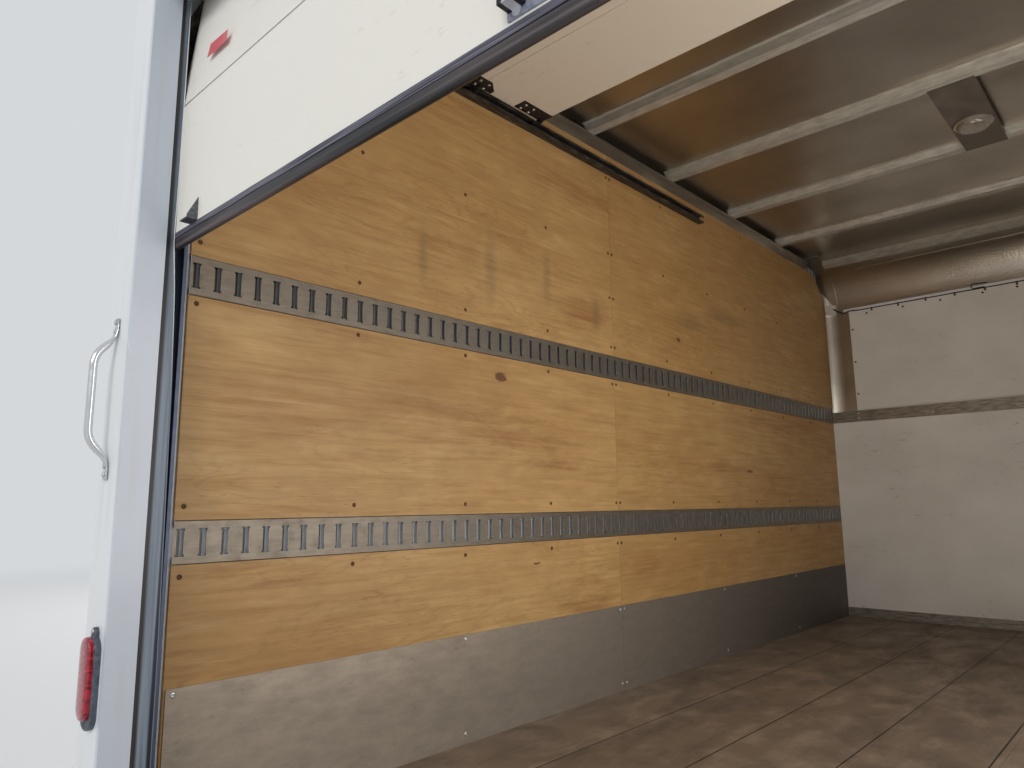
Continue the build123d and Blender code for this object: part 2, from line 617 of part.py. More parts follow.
def grab_handle():
    """Tube bent out from two flat feet screwed to the rear face of the post."""
    tube_r, tube_sides, x = 8, 12, HALF_INSIDE + 8
    foot_t, foot_w, foot_h, cut = 4, 11, 50, 5
    low, high, slant, margin = FLOOR + 791, FLOOR + 1040, 37, 30
    grip_y = REAR - HANDLE_REACH + tube_r
    path = Polyline([(x, REAR - 1, low), (x, grip_y, low + slant), (x, grip_y, high - slant),
                     (x, REAR - 1, high)])
    section = Plane(origin=path @ 0, z_dir=path % 0) * RegularPolygon(tube_r, tube_sides)
    bar = sweep(section, path=path, transition=Transition.RIGHT)
    bar &= block(x - margin, x + margin, REAR - HANDLE_REACH - 1, REAR, low - margin, high + margin)
    edge = [(foot_w, 0), (foot_w, foot_h - cut), (foot_w - cut, foot_h)]
    outline = [(x + w, h) for w, h in edge] + [(x - w, h) for w, h in reversed(edge)]
    foot = along_y(outline, REAR - foot_t, REAR)
    return bar + Pos(0, 0, high) * foot + Pos(0, 0, low) * mirror(foot, about=Plane.XY)


def oval(radius, half_run, steps=9):
    """Points of an upright oval about the origin, each of its round ends drawn in the given steps."""
    points = []
    for start, rise in ((0, half_run), (math.pi, -half_run)):
        turns = [start + math.pi * i / steps for i in range(steps + 1)]
        points += [(radius * math.cos(turn), rise + radius * math.sin(turn)) for turn in turns]
    return points


def tail_lamp():
    """Upright oval lamp on the rear post: notched base with a screw ear, and a raised red lens."""
    x, depth, bevel = HALF_INSIDE - 12, 12, 4
    base_z, base_r, base_run = FLOOR + 348, 31, 58
    lens_z, lens_r, lens_run = FLOOR + 357, 23.5, 52.5
    ear_r, ear_run, ear_rise = 13, 20, 72
    notch_z, notch_h, notch_w, notch_floor = FLOOR + 354, 7, 9, 3

    def raised(points, z, start):
        """Outline stood on the post's rear face and pulled rearwards."""
        return Pos(x, 0, z) * along_y(points, REAR - start - depth, REAR - start)

    base = raised(oval(base_r, base_run), base_z, 0)
    base += raised(oval(ear_r, ear_run, 5), base_z + ear_rise, 0)
    base -= block(x - base_r - 1, x - base_r + notch_w, REAR - depth - 1, REAR - notch_floor,
                  notch_z, notch_z + notch_h)
    lens = raised(oval(lens_r, lens_run), lens_z, depth)
    lens = chamfer(lens.faces().sort_by(Axis.Y)[0].edges(), bevel)
    return base, lens


def marker_lamps():
    """Small oblong clearance lamps: five across the header and five across the roof radius."""
    half_w, half_h, depth = 50, 15, 18
    rear_places = (-1030, -160, 0, 160, 1030)
    front_places = (-1030, -265, 0, 265, 1030)
    # The rear lamps' height, and how far up the front radius the front ones sit, in degrees
    z, turn = ROOF_TOP - 45, 24
    y_front = CURVE_Y + ROOF_RADIUS * math.cos(math.radians(turn))
    z_front = CURVE_Z + ROOF_RADIUS * math.sin(math.radians(turn))
    lamp = Pos(0, depth / 2, 0) * Box(2 * half_w, depth, 2 * half_h)
    rear = [block(x - half_w, x + half_w, REAR - depth, REAR, z - half_h, z + half_h) for x in rear_places]
    front = [Pos(x, y_front, z_front) * (Rotation(turn, 0, 0) * lamp) for x in front_places]
    return group(rear), group(front)


def cord(radius, sides, route):
    """Cord of a many-sided section, mitred at the bends of its route."""
    path = Polyline(route)
    section = Plane(origin=path @ 0, z_dir=path % 0) * RegularPolygon(radius, sides)
    return sweep(section, path=path, transition=Transition.RIGHT)


def lamp_cable():
    """Lamp wiring clipped along the top edge of the upper panel, from one cast corner to the other."""
    return cord(CABLE_R, 8, [*CABLE_BENDS, *((-x, y, z) for x, y, z in reversed(CABLE_BENDS))])


def lamp_pigtails():
    """Short loops of wire from the lamp cable up into the sheet behind the middle lamps."""
    radius, y, z = 2.4, UPPER_PANEL_FACE, CAP_FOOT + 2 * CABLE_R
    # Points of one loop as (x from its lamp, y, z), from the top of the cable to the hole in the sheet
    loop = [
        (-10, y + 2, z + radius), (-66, y, z + radius), (-76, y + 1, z + 12), (-76, y + 3, z + 23),
        (-66, y + 4, z + 32), (0, FRONT - 5, z + 30),
    ]
    return group(cord(radius, 6, [(place + x, py, pz) for x, py, pz in loop]) for place in (-265, 0, 265))


def dome_lamp():
    """Folded mounting plate between two roof bows with a round lamp turned up on it."""
    half_w, thick, fold_h, fold_t, bow_gap = 76, 3, 14, 2, 35
    y0, y1, lamp_y = REAR + 2325, REAR + 2955, REAR + 2697
    rim_r, rim_h, glass_r, glass_h, sides, slope = 70, 8, 60, 19, 32, 36
    face = BOW_BOTTOM - thick
    plate = block(-half_w, half_w, y0, y1, face, BOW_BOTTOM)
    for x in (-half_w, half_w - fold_t):
        plate += block(x, x + fold_t, BOW_PLACES[1] + bow_gap, BOW_PLACES[2] - bow_gap,
                       BOW_BOTTOM, BOW_BOTTOM + fold_h)
    lens = extrude(RegularPolygon(rim_r, sides), amount=rim_h)
    lens += Pos(0, 0, rim_h) * extrude(RegularPolygon(glass_r, sides), amount=glass_h, taper=slope)
    return plate, Pos(0, lamp_y, face) * (Rotation(180, 0, 0) * lens)


def door_latch():
    """Latch on the outside of the bottom section: plate, side housing, handle bar and round knob."""
    foot, half_w, plate_h, plate_t = DOOR_BOTTOM + 16, 87, 150, 3
    housing_x, housing_w, housing_h, housing_d, rise = -86, 30, 118, 24, 12
    bar_end, bar_h, bar_d, bar_rise = 70, 24, 16, 60
    knob_r, knob_h, knob_rise = 8, 10, 26
    back = DOOR_FACE - plate_t
    inner = housing_x + housing_w
    plate = block(-half_w, half_w, back, DOOR_FACE, foot, foot + plate_h)
    housing = block(housing_x, inner, DOOR_FACE - housing_d, back, foot + rise, foot + rise + housing_h)
    bar = block(inner, bar_end, DOOR_FACE - bar_d, back, foot + bar_rise, foot + bar_rise + bar_h)
    knob = Rotation(90, 0, 0) * extrude(RegularPolygon(knob_r, 10), amount=knob_h)
    knob = Pos(housing_x + housing_w / 2, DOOR_FACE - housing_d, foot + knob_rise) * knob
    return plate + housing + bar + knob


def all_nodes():
    """Every node of the body by name."""
    lower, upper = front_panels()
    lamp_base, lamp_lens = tail_lamp()
    dome_plate, dome_lens = dome_lamp()
    rear_markers, front_markers = marker_lamps()
    nodes = {
        "long_sills": long_sills(),
        "cross_members": cross_members(),
        "floor_planks": floor_planks(),
        "rear_sill": rear_sill(),
        "roof_skin": roof_skin(),
        "roof_bows": roof_bows(),
        "front_radius_bar": front_radius_bar(),
        "front_wall": front_wall(),
        "front_lower_panel": lower,
        "front_upper_panel": upper,
        "front_mid_rail": front_mid_rail(),
        "front_foot_rail": front_foot_rail(),
        "rear_header": rear_header(),
        "door_seals": door_seals(),
        "door_sections": door_sections(),
        "door_bottom_rail": door_bottom_rail(),
        "door_bottom_seal": door_bottom_seal(),
        "door_corner_brackets": both_sides(door_corner_bracket()),
        "door_rollers": both_sides(door_rollers()),
        "door_latch": door_latch(),
        "counterbalance": counterbalance(),
        "rear_marker_lamps": rear_markers,
        "front_marker_lamps": front_markers,
        "dome_lamp_plate": dome_plate,
        "dome_lamp_lens": dome_lens,
        "lamp_cable": lamp_cable(),
        "lamp_pigtails": lamp_pigtails(),
    }
    paired = {
        "bottom_rail": bottom_rail(),
        "side_wall": side_wall(),
        "top_rail": top_rail(),
        "lining": lining(),
        "kick_plate": kick_plate(),
        "lower_cargo_rail": slotted_rail(RAIL_HEIGHTS[0]),
        "upper_cargo_rail": slotted_rail(RAIL_HEIGHTS[1]),
        "front_corner_post": front_corner_post(),
        "corner_cap": corner_cap(),
        "rear_post": rear_post(),
        "door_track": door_track(),
        "grab_handle": grab_handle(),
        "tail_lamp_base": lamp_base,
        "tail_lamp_lens": lamp_lens,
    }
    for name, shape in paired.items():
        nodes[name + "_right"] = shape
        nodes[name + "_left"] = other_side(shape)
    return nodes


os.makedirs("parts", exist_ok=True)
for name, shape in all_nodes().items():
    export_step(shape, f"parts/{name}.step")
    size = shape.bounding_box()
    print(f"{name:26s} {size.min.X:8.0f} {size.max.X:8.0f} {size.min.Y:8.0f} {size.max.Y:8.0f}"
          f" {size.min.Z:8.0f} {size.max.Z:8.0f}")
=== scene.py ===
import math

import bmesh
import bpy
import numpy as np
from mathutils import Matrix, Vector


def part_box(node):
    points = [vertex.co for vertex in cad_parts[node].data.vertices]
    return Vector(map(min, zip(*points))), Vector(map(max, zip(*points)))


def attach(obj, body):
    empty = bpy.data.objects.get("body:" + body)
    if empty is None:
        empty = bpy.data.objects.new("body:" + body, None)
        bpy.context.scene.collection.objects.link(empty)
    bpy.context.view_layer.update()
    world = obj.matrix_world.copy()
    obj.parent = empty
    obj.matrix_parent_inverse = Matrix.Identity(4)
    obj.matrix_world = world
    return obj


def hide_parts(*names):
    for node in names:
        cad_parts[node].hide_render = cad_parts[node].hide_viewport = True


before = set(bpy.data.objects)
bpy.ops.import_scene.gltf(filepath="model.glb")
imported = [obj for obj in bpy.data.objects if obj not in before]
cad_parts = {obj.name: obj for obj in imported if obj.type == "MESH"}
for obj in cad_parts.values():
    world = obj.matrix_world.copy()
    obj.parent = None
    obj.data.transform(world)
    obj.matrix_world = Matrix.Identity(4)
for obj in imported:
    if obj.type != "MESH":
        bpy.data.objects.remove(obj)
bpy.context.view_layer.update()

# Camera: just outside the rear doorway, right of the middle, looking forwards and to the left at the wall.
# Its turn is worked out from a heading left of +Y, a tilt up and a small lean.
CAMERA_AT = (0.486, -2.644, 0.890)
HEADING, TILT, LEAN = 43.04, 9.46, -0.61
LENS, SENSOR = 25.57, 36.0


def camera_turn(heading, tilt, lean):
    """Columns are the picture's right, its up and the way back from the view, as unit vectors."""
    h, t, b = (math.radians(angle) for angle in (heading, tilt, lean))
    ahead = np.array((-math.sin(h) * math.cos(t), math.cos(h) * math.cos(t), math.sin(t)))
    level = np.array((math.cos(h), math.sin(h), 0.0))
    above = np.cross(level, ahead)
    right = math.cos(b) * level + math.sin(b) * above
    up = math.cos(b) * above - math.sin(b) * level
    return np.stack((right, up, -ahead), axis=1)


camera = bpy.data.objects.new("camera", bpy.data.cameras.new("camera"))
camera.data.lens, camera.data.sensor_width = LENS, SENSOR
camera.data.clip_start, camera.data.clip_end = 0.01, 200.0
turn = Matrix(camera_turn(HEADING, TILT, LEAN).tolist()).to_4x4()
camera.matrix_world = Matrix.Translation(CAMERA_AT) @ turn
bpy.context.scene.collection.objects.link(camera)
bpy.context.scene.camera = camera


# Studio: a pale floor that runs into a pale backdrop, a soft light behind the doorway, one over the left
# side and soft lights inside the body, which the camera doesn't see.
def linear(code):
    """Colour for a shader from an sRGB hex value such as #C09A62."""
    parts = np.array([int(code[i:i + 2], 16) for i in (1, 3, 5)]) / 255
    curve = np.where(parts <= 0.04045, parts / 12.92, ((parts + 0.055) / 1.055) ** 2.4)
    return (*curve.tolist(), 1.0)


def add(tree, kind, inputs=(), out=0, **settings):
    """Adds a shader node and gives back one of its outputs. Inputs are the first sockets in their order, or
    named and numbered ones; each gets a value, a hex colour or another node's output."""
    new = tree.nodes.new("ShaderNode" + kind)
    for name, value in settings.items():
        setattr(new, name, value)
    for name, value in (inputs.items() if isinstance(inputs, dict) else enumerate(inputs)):
        if isinstance(value, bpy.types.NodeSocket):
            tree.links.new(value, new.inputs[name])
        else:
            new.inputs[name].default_value = linear(value) if isinstance(value, str) else value
    return new.outputs[out]


BACKDROP = linear("#D5D8DB")


def seen_white(tree):
    """1 for what the camera sees straight, in a mirror or through glass, and 0 for light on the object."""
    straight, mirror, glass = (add(tree, "LightPath", out="Is %s Ray" % name)
                               for name in ("Camera", "Glossy", "Transmission"))
    either = add(tree, "Math", (straight, mirror), operation="MAXIMUM")
    return add(tree, "Math", (either, glass), operation="MAXIMUM")


def studio():
    """World of even light, and a floor that fades to the backdrop between 4 and 14 m from the middle."""
    world = bpy.data.worlds.new("studio")
    world.use_nodes = True
    tree = world.node_tree
    plain = add(tree, "Background", {"Color": (1.0, 1.0, 1.0, 1.0), "Strength": 0.5})
    shown = add(tree, "Background", {"Color": BACKDROP, "Strength": 1.0})
    both = add(tree, "MixShader", (seen_white(tree), plain, shown))
    tree.links.new(both, tree.nodes["World Output"].inputs["Surface"])
    bpy.context.scene.world = world

    ground = bpy.data.materials.new("pale studio floor")
    ground.use_nodes = True
    tree = ground.node_tree
    matt = tree.nodes["Principled BSDF"]
    matt.inputs["Base Color"].default_value = linear("#D9DADB")
    matt.inputs["Roughness"].default_value = 0.9
    far = add(tree, "VectorMath", (add(tree, "TexCoord", out="Object"),), out=1, operation="LENGTH")
    fade = add(tree, "MapRange", (far, 4.0, 14.0), interpolation_type="SMOOTHSTEP")
    glow = add(tree, "Emission", {"Color": BACKDROP, "Strength": 1.0})
    seen = add(tree, "Math", (fade, seen_white(tree)), operation="MULTIPLY")
    faded = add(tree, "MixShader", (seen, matt.outputs[0], glow))
    tree.links.new(faded, tree.nodes["Material Output"].inputs["Surface"])
    mesh = bpy.data.meshes.new("studio_floor")
    reach = 60.0
    mesh.from_pydata([(-reach, -reach, 0), (reach, -reach, 0), (reach, reach, 0), (-reach, reach, 0)], [],
                     [(0, 1, 2, 3)])
    mesh.materials.append(ground)
    floor = bpy.data.objects.new("studio_floor", mesh)
    bpy.context.scene.collection.objects.link(floor)


# name, place, the point that it faces, width, height, watts, colour
LAMPS = (
    ("key", (2.4, -9.4, 5.2), (0.0, -0.6, 1.0), 4.0, 3.0, 330, "#FFFFFF"),
    ("left", (-8.0, 3.0, 6.0), (0.0, 0.0, 1.2), 5.0, 4.0, 380, "#FFFFFF"),
    ("floor_bounce", (0.3, -0.6, 0.25), (0.35, -0.4, 2.4), 1.0, 1.2, 14, "#FFF4E2"),
    ("inside", (0.95, -0.6, 1.2), (-1.1, -0.75, 1.1), 2.2, 1.3, 24, "#FFFFFF"),
)


def lamp(name, at, towards, width, height, watts, code):
    """Soft rectangular lamp that lights the object and is itself not seen."""
    light = bpy.data.lights.new(name, "AREA")
    light.shape, light.size, light.size_y = "RECTANGLE", width, height
    light.energy, light.color = watts, linear(code)[:3]
    made = bpy.data.objects.new("lamp_" + name, light)
    way = Matrix.Translation(at).to_translation() - Matrix.Translation(towards).to_translation()
    made.rotation_euler = way.to_track_quat("Z", "Y").to_euler()
    made.location = at
    made.visible_camera = False
    bpy.context.scene.collection.objects.link(made)


studio()
for row in LAMPS:
    lamp(*row)
bpy.context.scene.view_settings.view_transform = "Standard"


# Long sills and cross members: rolled steel channels under the floor, in black chassis paint that has been
# sprayed on, with fine orange peel and road dust on what faces up.
MM = 0.001


def new_material(name, constants):
    """Material whose shader has its constants set; gives the material and its node tree."""
    made = bpy.data.materials.new(name)
    made.use_nodes = True
    shader = made.node_tree.nodes["Principled BSDF"]
    for socket, value in constants.items():
        shader.inputs[socket].default_value = value
    return made, made.node_tree


def joined(made, colour=None, rough=None, normal=None):
    """The material, with node outputs joined to its shader's colour, roughness and normal."""
    shader = made.node_tree.nodes["Principled BSDF"]
    for socket, output in (("Base Color", colour), ("Roughness", rough), ("Normal", normal)):
        if output is not None:
            made.node_tree.links.new(output, shader.inputs[socket])
    return made


def pattern(tree, kind, sizes_mm, inputs=None, shift=(0.0, 0.0, 0.0), vector=None, **others):
    """A texture on object coordinates, whose waves or cells are as long along X, Y and Z as the sizes in
    millimetres. A shift takes another part of it."""
    place = vector or add(tree, "TexCoord", out="Object")
    scale = [1 / (size * MM) for size in sizes_mm]
    local = add(tree, "Mapping", {"Vector": place, "Location": shift, "Scale": scale})
    return add(tree, "Tex" + kind, {"Vector": local, "Scale": 1.0, **(inputs or {})}, **others)


def overlap(tree, *rows):
    """Product of several values, each first carried from the range in its row to 0..1 or to the range that
    ends the row. It is high only where all of them are."""
    share = add(tree, "MapRange", rows[0])
    for row in rows[1:]:
        share = add(tree, "Math", (share, add(tree, "MapRange", row)), operation="MULTIPLY")
    return share


def axis(tree, number):
    """X, Y or Z of the place in the body's frame, in metres."""
    return add(tree, "SeparateXYZ", (add(tree, "TexCoord", out="Object"),), out=number)


def dress(names, material):
    """Gives CAD nodes their material."""
    for name in names:
        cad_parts[name].data.materials.clear()
        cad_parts[name].data.materials.append(material)


def chassis_paint():
    """Semi-gloss black: peel 2 mm across, dust from what faces up."""
    made, tree = new_material("semi-gloss black chassis paint", {"IOR": 1.5})
    dust = pattern(tree, "Noise", (60, 60, 60), {"Detail": 5.0})
    up = add(tree, "SeparateXYZ", (add(tree, "NewGeometry", out="Normal"),), out=2)
    dusty = overlap(tree, (up, 0.0, 1.0, 0.12, 0.6), (dust, 0.4, 0.7))
    peel = pattern(tree, "Noise", (2, 2, 2))
    return joined(made, add(tree, "Mix", {0: dusty, 6: "#17181A", 7: "#6E655B"}, out=2, data_type="RGBA"),
                  add(tree, "MapRange", (dust, 0.3, 0.7, 0.32, 0.6)),
                  add(tree, "Bump", {"Distance": 0.05 * MM, "Height": peel}))


dress(("long_sills", "cross_members"), chassis_paint())


# Floor: eight laminated hardwood planks laid along the body, with dark open seams between them. Years of
# loading have left them dull brown-grey, with clouds of dirt, worn patches and fine scratches that run
# along the body.
FLOOR_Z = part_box("floor_planks")[1][2]
PLANK_W = (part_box("floor_planks")[1][0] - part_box("floor_planks")[0][0]) / 8


def laid(tree, facing_down, over, value, low, high, most=1.0):
    """One colour laid over another where a value rises from low to high, at most by a share."""
    amount = add(tree, "MapRange", (value, low, high, 0.0, most))
    return add(tree, "Mix", {0: amount, 6: facing_down, 7: over}, out=2, data_type="RGBA")


def floor_wood():
    """Planks each of their own tone, grain 3 mm wide and 140 mm long, dirt clouds and worn patches 200 mm
    across, and a dark line 5 mm wide along every seam."""
    made, tree = new_material("worn laminated hardwood", {"IOR": 1.5})
    x = axis(tree, 0)
    across = add(tree, "Math", (x, PLANK_W), operation="DIVIDE")
    plank = add(tree, "Math", (across,), operation="FLOOR")
    tone = add(tree, "TexWhiteNoise", {"W": plank}, noise_dimensions="1D")
    grain = pattern(tree, "Noise", (3, 140, 3), {"Detail": 4.0})
    dirt = pattern(tree, "Noise", (190, 330, 100), {"Detail": 4.5, "Roughness": 0.62, "Distortion": 0.5})
    worn = pattern(tree, "Noise", (120, 210, 100), {"Detail": 4.5, "Roughness": 0.66},
                   shift=(3.1, 1.7, 0.0))
    scratch = pattern(tree, "Noise", (4, 420, 4))
    fibres = pattern(tree, "Noise", (40, 9, 40), {"Detail": 3.0})
    edge = add(tree, "Math", (across, 0.5), operation="PINGPONG")
    seam = add(tree, "MapRange", (edge, 0.004, 0.011, 1.0, 0.0))
    wood = add(tree, "Mix", {0: tone, 6: "#736454", 7: "#837160"}, out=2, data_type="RGBA")
    wood = laid(tree, wood, "#A08F7B", worn, 0.48, 0.68, 0.6)
    wood = laid(tree, wood, "#4E4237", dirt, 0.44, 0.68, 0.7)
    wood = laid(tree, wood, "#57493D", grain, 0.35, 0.7, 0.3)
    wood = laid(tree, wood, "#5A4B3E", fibres, 0.55, 0.75, 0.2)
    wood = laid(tree, wood, "#A79683", scratch, 0.64, 0.74, 0.35)
    wood = add(tree, "Mix", {0: seam, 6: wood, 7: "#14100D"}, out=2, data_type="RGBA")
    flat = add(tree, "MapRange", (seam, 0.0, 1.0, 0.7, 0.0))
    height = add(tree, "Math", (grain, 0.3, flat), operation="MULTIPLY_ADD")
    return joined(made, wood, add(tree, "MapRange", (dirt, 0.3, 0.7, 0.42, 0.75)),
                  add(tree, "Bump", {"Distance": 0.35 * MM, "Height": height}))


dress(("floor_planks",), floor_wood())


# Threshold, roof bows and door tracks: folded zinc coated sheet. The threshold is dull grey, with the
# patches that zinc leaves as it sets, and the bows are brighter. The tracks are painted dark as painted
# shade, with a painted blue-grey sky reflection low down.
def galvanised_steel():
    """Zinc spangle 14 mm across as small steps of tone and gloss."""
    made, tree = new_material("galvanised sheet steel", {"Metallic": 0.85})
    spangle = pattern(tree, "Voronoi", (14, 14, 14), out="Color")
    patch = add(tree, "SeparateXYZ", (spangle,), out=0)
    grime = pattern(tree, "Noise", (160, 90, 60), {"Detail": 4.5, "Roughness": 0.65})
    zinc = add(tree, "Mix", {0: patch, 6: "#B4B4B0", 7: "#BCBCB8"}, out=2, data_type="RGBA")
    return joined(made, laid(tree, zinc, "#837C72", grime, 0.5, 0.8, 0.4),
                  add(tree, "Math", (patch, 0.03, add(tree, "MapRange", (grime, 0.3, 0.7, 0.34, 0.46))),
                      operation="MULTIPLY_ADD"),
                  add(tree, "Bump", {"Distance": 0.12 * MM, "Height": grime}))


galvanised = galvanised_steel()
dress(("rear_sill",), galvanised)


def bow_zinc():
    """Bright zinc coat of the roof bows, with grey drag lines along them and faint patches 60 mm long."""
    made, tree = new_material("bright zinc coated bow steel", {"Metallic": 0.55})
    patch = pattern(tree, "Noise", (60, 22, 22), {"Detail": 5.0})
    lines = pattern(tree, "Noise", (400, 3, 3))
    zinc = laid(tree, "#C6C3BB", "#A9A59B", patch, 0.35, 0.7)
    return joined(made, laid(tree, zinc, "#8F8A80", lines, 0.5, 0.75, 0.5),
                  add(tree, "MapRange", (patch, 0.3, 0.7, 0.36, 0.5)))


dress(("roof_bows",), bow_zinc())


def pair(name):
    """Names of a node of the left side and of its twin."""
    return (name + "_left", name + "_right")


def track_steel():
    """Steel painted dark as painted shade, with rub marks 80 mm long, and a painted blue-grey sky reflection
    low down, where it stands upright in the doorway.
    """
    made, tree = new_material("roll-formed track steel with painted shade", {"Metallic": 0.55})
    rub = pattern(tree, "Noise", (9, 80, 30), {"Detail": 4.0})
    z = axis(tree, 2)
    # Painted shade: dark steel, with lighter rub marks
    steel = laid(tree, "#302C29", "#6A625A", rub, 0.45, 0.75)
    # Painted blue-grey sky reflection on the upright part, below 1.75 m
    return joined(made, laid(tree, steel, "#5D6980", z, 1.75, 1.5, 0.8),
                  add(tree, "MapRange", (rub, 0.3, 0.7, 0.38, 0.6)))


dress(pair("door_track"), track_steel())


# Outer walls, header and rear posts: sheet and pressed steel in gloss white paint, slightly chalked by
# weather, with faint dirt running down.
REAR_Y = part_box("rear_post_left")[0][1]
FIRST_SLOT_Y = REAR_Y + 0.155
SLOT_PITCH = 0.0508
INNER_SKIN_X = 1.19


def painted_slot_light_and_shade(tree, paint):
    """The side walls' own white, and on their inner face, behind the rail slots, a painted shadow with
    painted light forwards of each slot on the sheet, more so behind the lower rails."""
    x, y, z = (axis(tree, i) for i in range(3))
    aside = add(tree, "Math", (x,), operation="ABSOLUTE")
    inner = add(tree, "Math", (aside, INNER_SKIN_X), operation="LESS_THAN")
    steps = add(tree, "Math", (y, FIRST_SLOT_Y), operation="SUBTRACT")
    steps = add(tree, "Math", (steps, SLOT_PITCH), operation="DIVIDE")
    phase = add(tree, "Math", (steps,), operation="FRACT")
    lit = overlap(tree, (phase, 0.06, 0.09), (phase, 0.85, 0.7),
                  (z, FLOOR_Z + 0.75, FLOOR_Z + 1.1, 1.0, 0.35))
    # Painted shadow #0D0E10 and painted light #EDF2F8 on the sheet behind the slots
    sheet = add(tree, "Mix", {0: lit, 6: "#0D0E10", 7: "#EDF2F8"}, out=2, data_type="RGBA")
    return add(tree, "Mix", {0: inner, 6: paint, 7: sheet}, out=2, data_type="RGBA")


def white_paint(name, slot_shade=False, jamb_shade=False):
    """Gloss white with peel 3 mm across and grey runs 12 mm wide that are long in Z. On the jambs of the
    doorway the white is painted blue-grey, as painted shade."""
    made, tree = new_material(name, {"IOR": 1.5, "Coat Weight": 0.25, "Coat Roughness": 0.12})
    runs = pattern(tree, "Noise", (24, 24, 700), {"Detail": 5.0})
    haze = pattern(tree, "Noise", (420, 420, 420), {"Detail": 4.0})
    dirt = overlap(tree, (runs, 0.5, 0.8, 0.0, 0.5), (haze, 0.4, 0.65))
    peel = pattern(tree, "Noise", (3, 3, 3))
    paint = linear("#E4E7EA")
    if jamb_shade:
        across = add(tree, "Math", (axis(tree, 0),), operation="ABSOLUTE")
        # Painted shade: the jambs' faces turn blue-grey
        paint = laid(tree, paint, "#BAC4D2", across, 1.117, 1.110, 0.8)
    paint = add(tree, "Mix", {0: dirt, 6: paint, 7: "#B9B8B2"}, out=2, data_type="RGBA")
    return joined(made, painted_slot_light_and_shade(tree, paint) if slot_shade else paint,
                  add(tree, "MapRange", (haze, 0.3, 0.7, 0.26, 0.42)),
                  add(tree, "Bump", {"Distance": 0.02 * MM, "Height": peel}))


dress(("rear_header", "front_wall"), white_paint("gloss white paint"))
dress(pair("rear_post"), white_paint("gloss white post paint", jamb_shade=True))
dress(pair("side_wall"), white_paint("gloss white wall sheet", slot_shade=True))


# Lining: sheets of softwood plywood screwed to the posts, two sheets long, cut into three boards high
# round the cargo rails. Its face veneer is peeled from the log, so the rings show as long soft flames;
# old varnish has turned it golden, and knots, resin streaks and hand marks show through.
SHEET_SEAM_Y = REAR_Y + 1.826
INCH = 0.0254
RAIL_Z = (FLOOR_Z + 0.610, FLOOR_Z + 1.219)

# Resin stains and knots of the left wall, in inches: forwards from the first slot, above the floor,
# half length, half height, and strength
STAINS = (
    (56.0, 75.2, 15.0, 3.4, 0.60), (60.5, 73.6, 7.0, 2.4, 0.50), (57.0, 55.2, 10.0, 2.8, 0.80),
    (31.0, 59.0, 9.0, 1.7, 0.55), (43.0, 63.0, 5.0, 3.2, 0.35), (41.0, 35.4, 16.0, 1.9, 0.50),
    (31.0, 38.4, 10.0, 1.2, 0.45), (52.0, 32.2, 6.0, 1.2, 0.60), (99.0, 33.4, 16.0, 1.6, 0.60),
    (126.0, 32.2, 14.0, 1.1, 0.55), (127.0, 43.6, 26.0, 3.2, 0.55), (56.5, 12.9, 9.0, 1.9, 0.75),
    (73.0, 17.9, 6.0, 2.4, 0.65), (8.0, 19.9, 5.0, 0.8, 0.55), (4.0, 21.3, 4.0, 1.0, 0.40),
    (10.0, 35.4, 7.0, 3.0, 0.30), (17.0, 32.4, 9.0, 0.9, 0.35), (20.1, 17.7, 1.2, 1.1, 0.55),
    (22.0, 17.1, 0.9, 0.7, 0.45), (14.0, 45.4, 6.0, 1.0, 0.45), (88.0, 24.0, 12.0, 2.0, 0.35),
)
# Dark knots, in the same columns without the strength
KNOTS = ((40.2, 43.5, 1.5, 0.75), (111.5, 32.9, 2.0, 0.45), (46.8, 19.2, 1.0, 0.35), (86.1, 55.8, 0.8, 0.6))
# Grey smudges where loads have rubbed, same columns
SMUDGES = ((26.9, 57.0, 1.0, 4.6), (38.5, 58.0, 1.5, 6.5), (49.9, 59.0, 1.2, 5.4), (61.5, 55.8, 1.4, 4.0),
           (91.0, 59.5, 8.0, 1.6), (104.0, 63.0, 9.0, 1.6))


def spot(tree, vector, row):
    """1 in the middle of an oval on the wall and 0 at its edge, for a row of inches."""
    along, height, half_length, half_height = row[:4]
    middle = (0.0, FIRST_SLOT_Y + along * INCH, FLOOR_Z + height * INCH)
    size = (9.0, half_length * INCH, half_height * INCH)
    local = add(tree, "Mapping", {"Vector": vector, "Location": middle, "Scale": size},
                vector_type="TEXTURE")
    return add(tree, "TexGradient", {"Vector": local}, gradient_type="SPHERICAL")


def spots(tree, vector, rows):
    """Sum of the ovals of a table, each times its strength."""
    total = 0.0
    for row in rows:
        strength = row[4] if len(row) > 4 else 1.0
        total = add(tree, "Math", (spot(tree, vector, row), strength, total), operation="MULTIPLY_ADD")
    return total


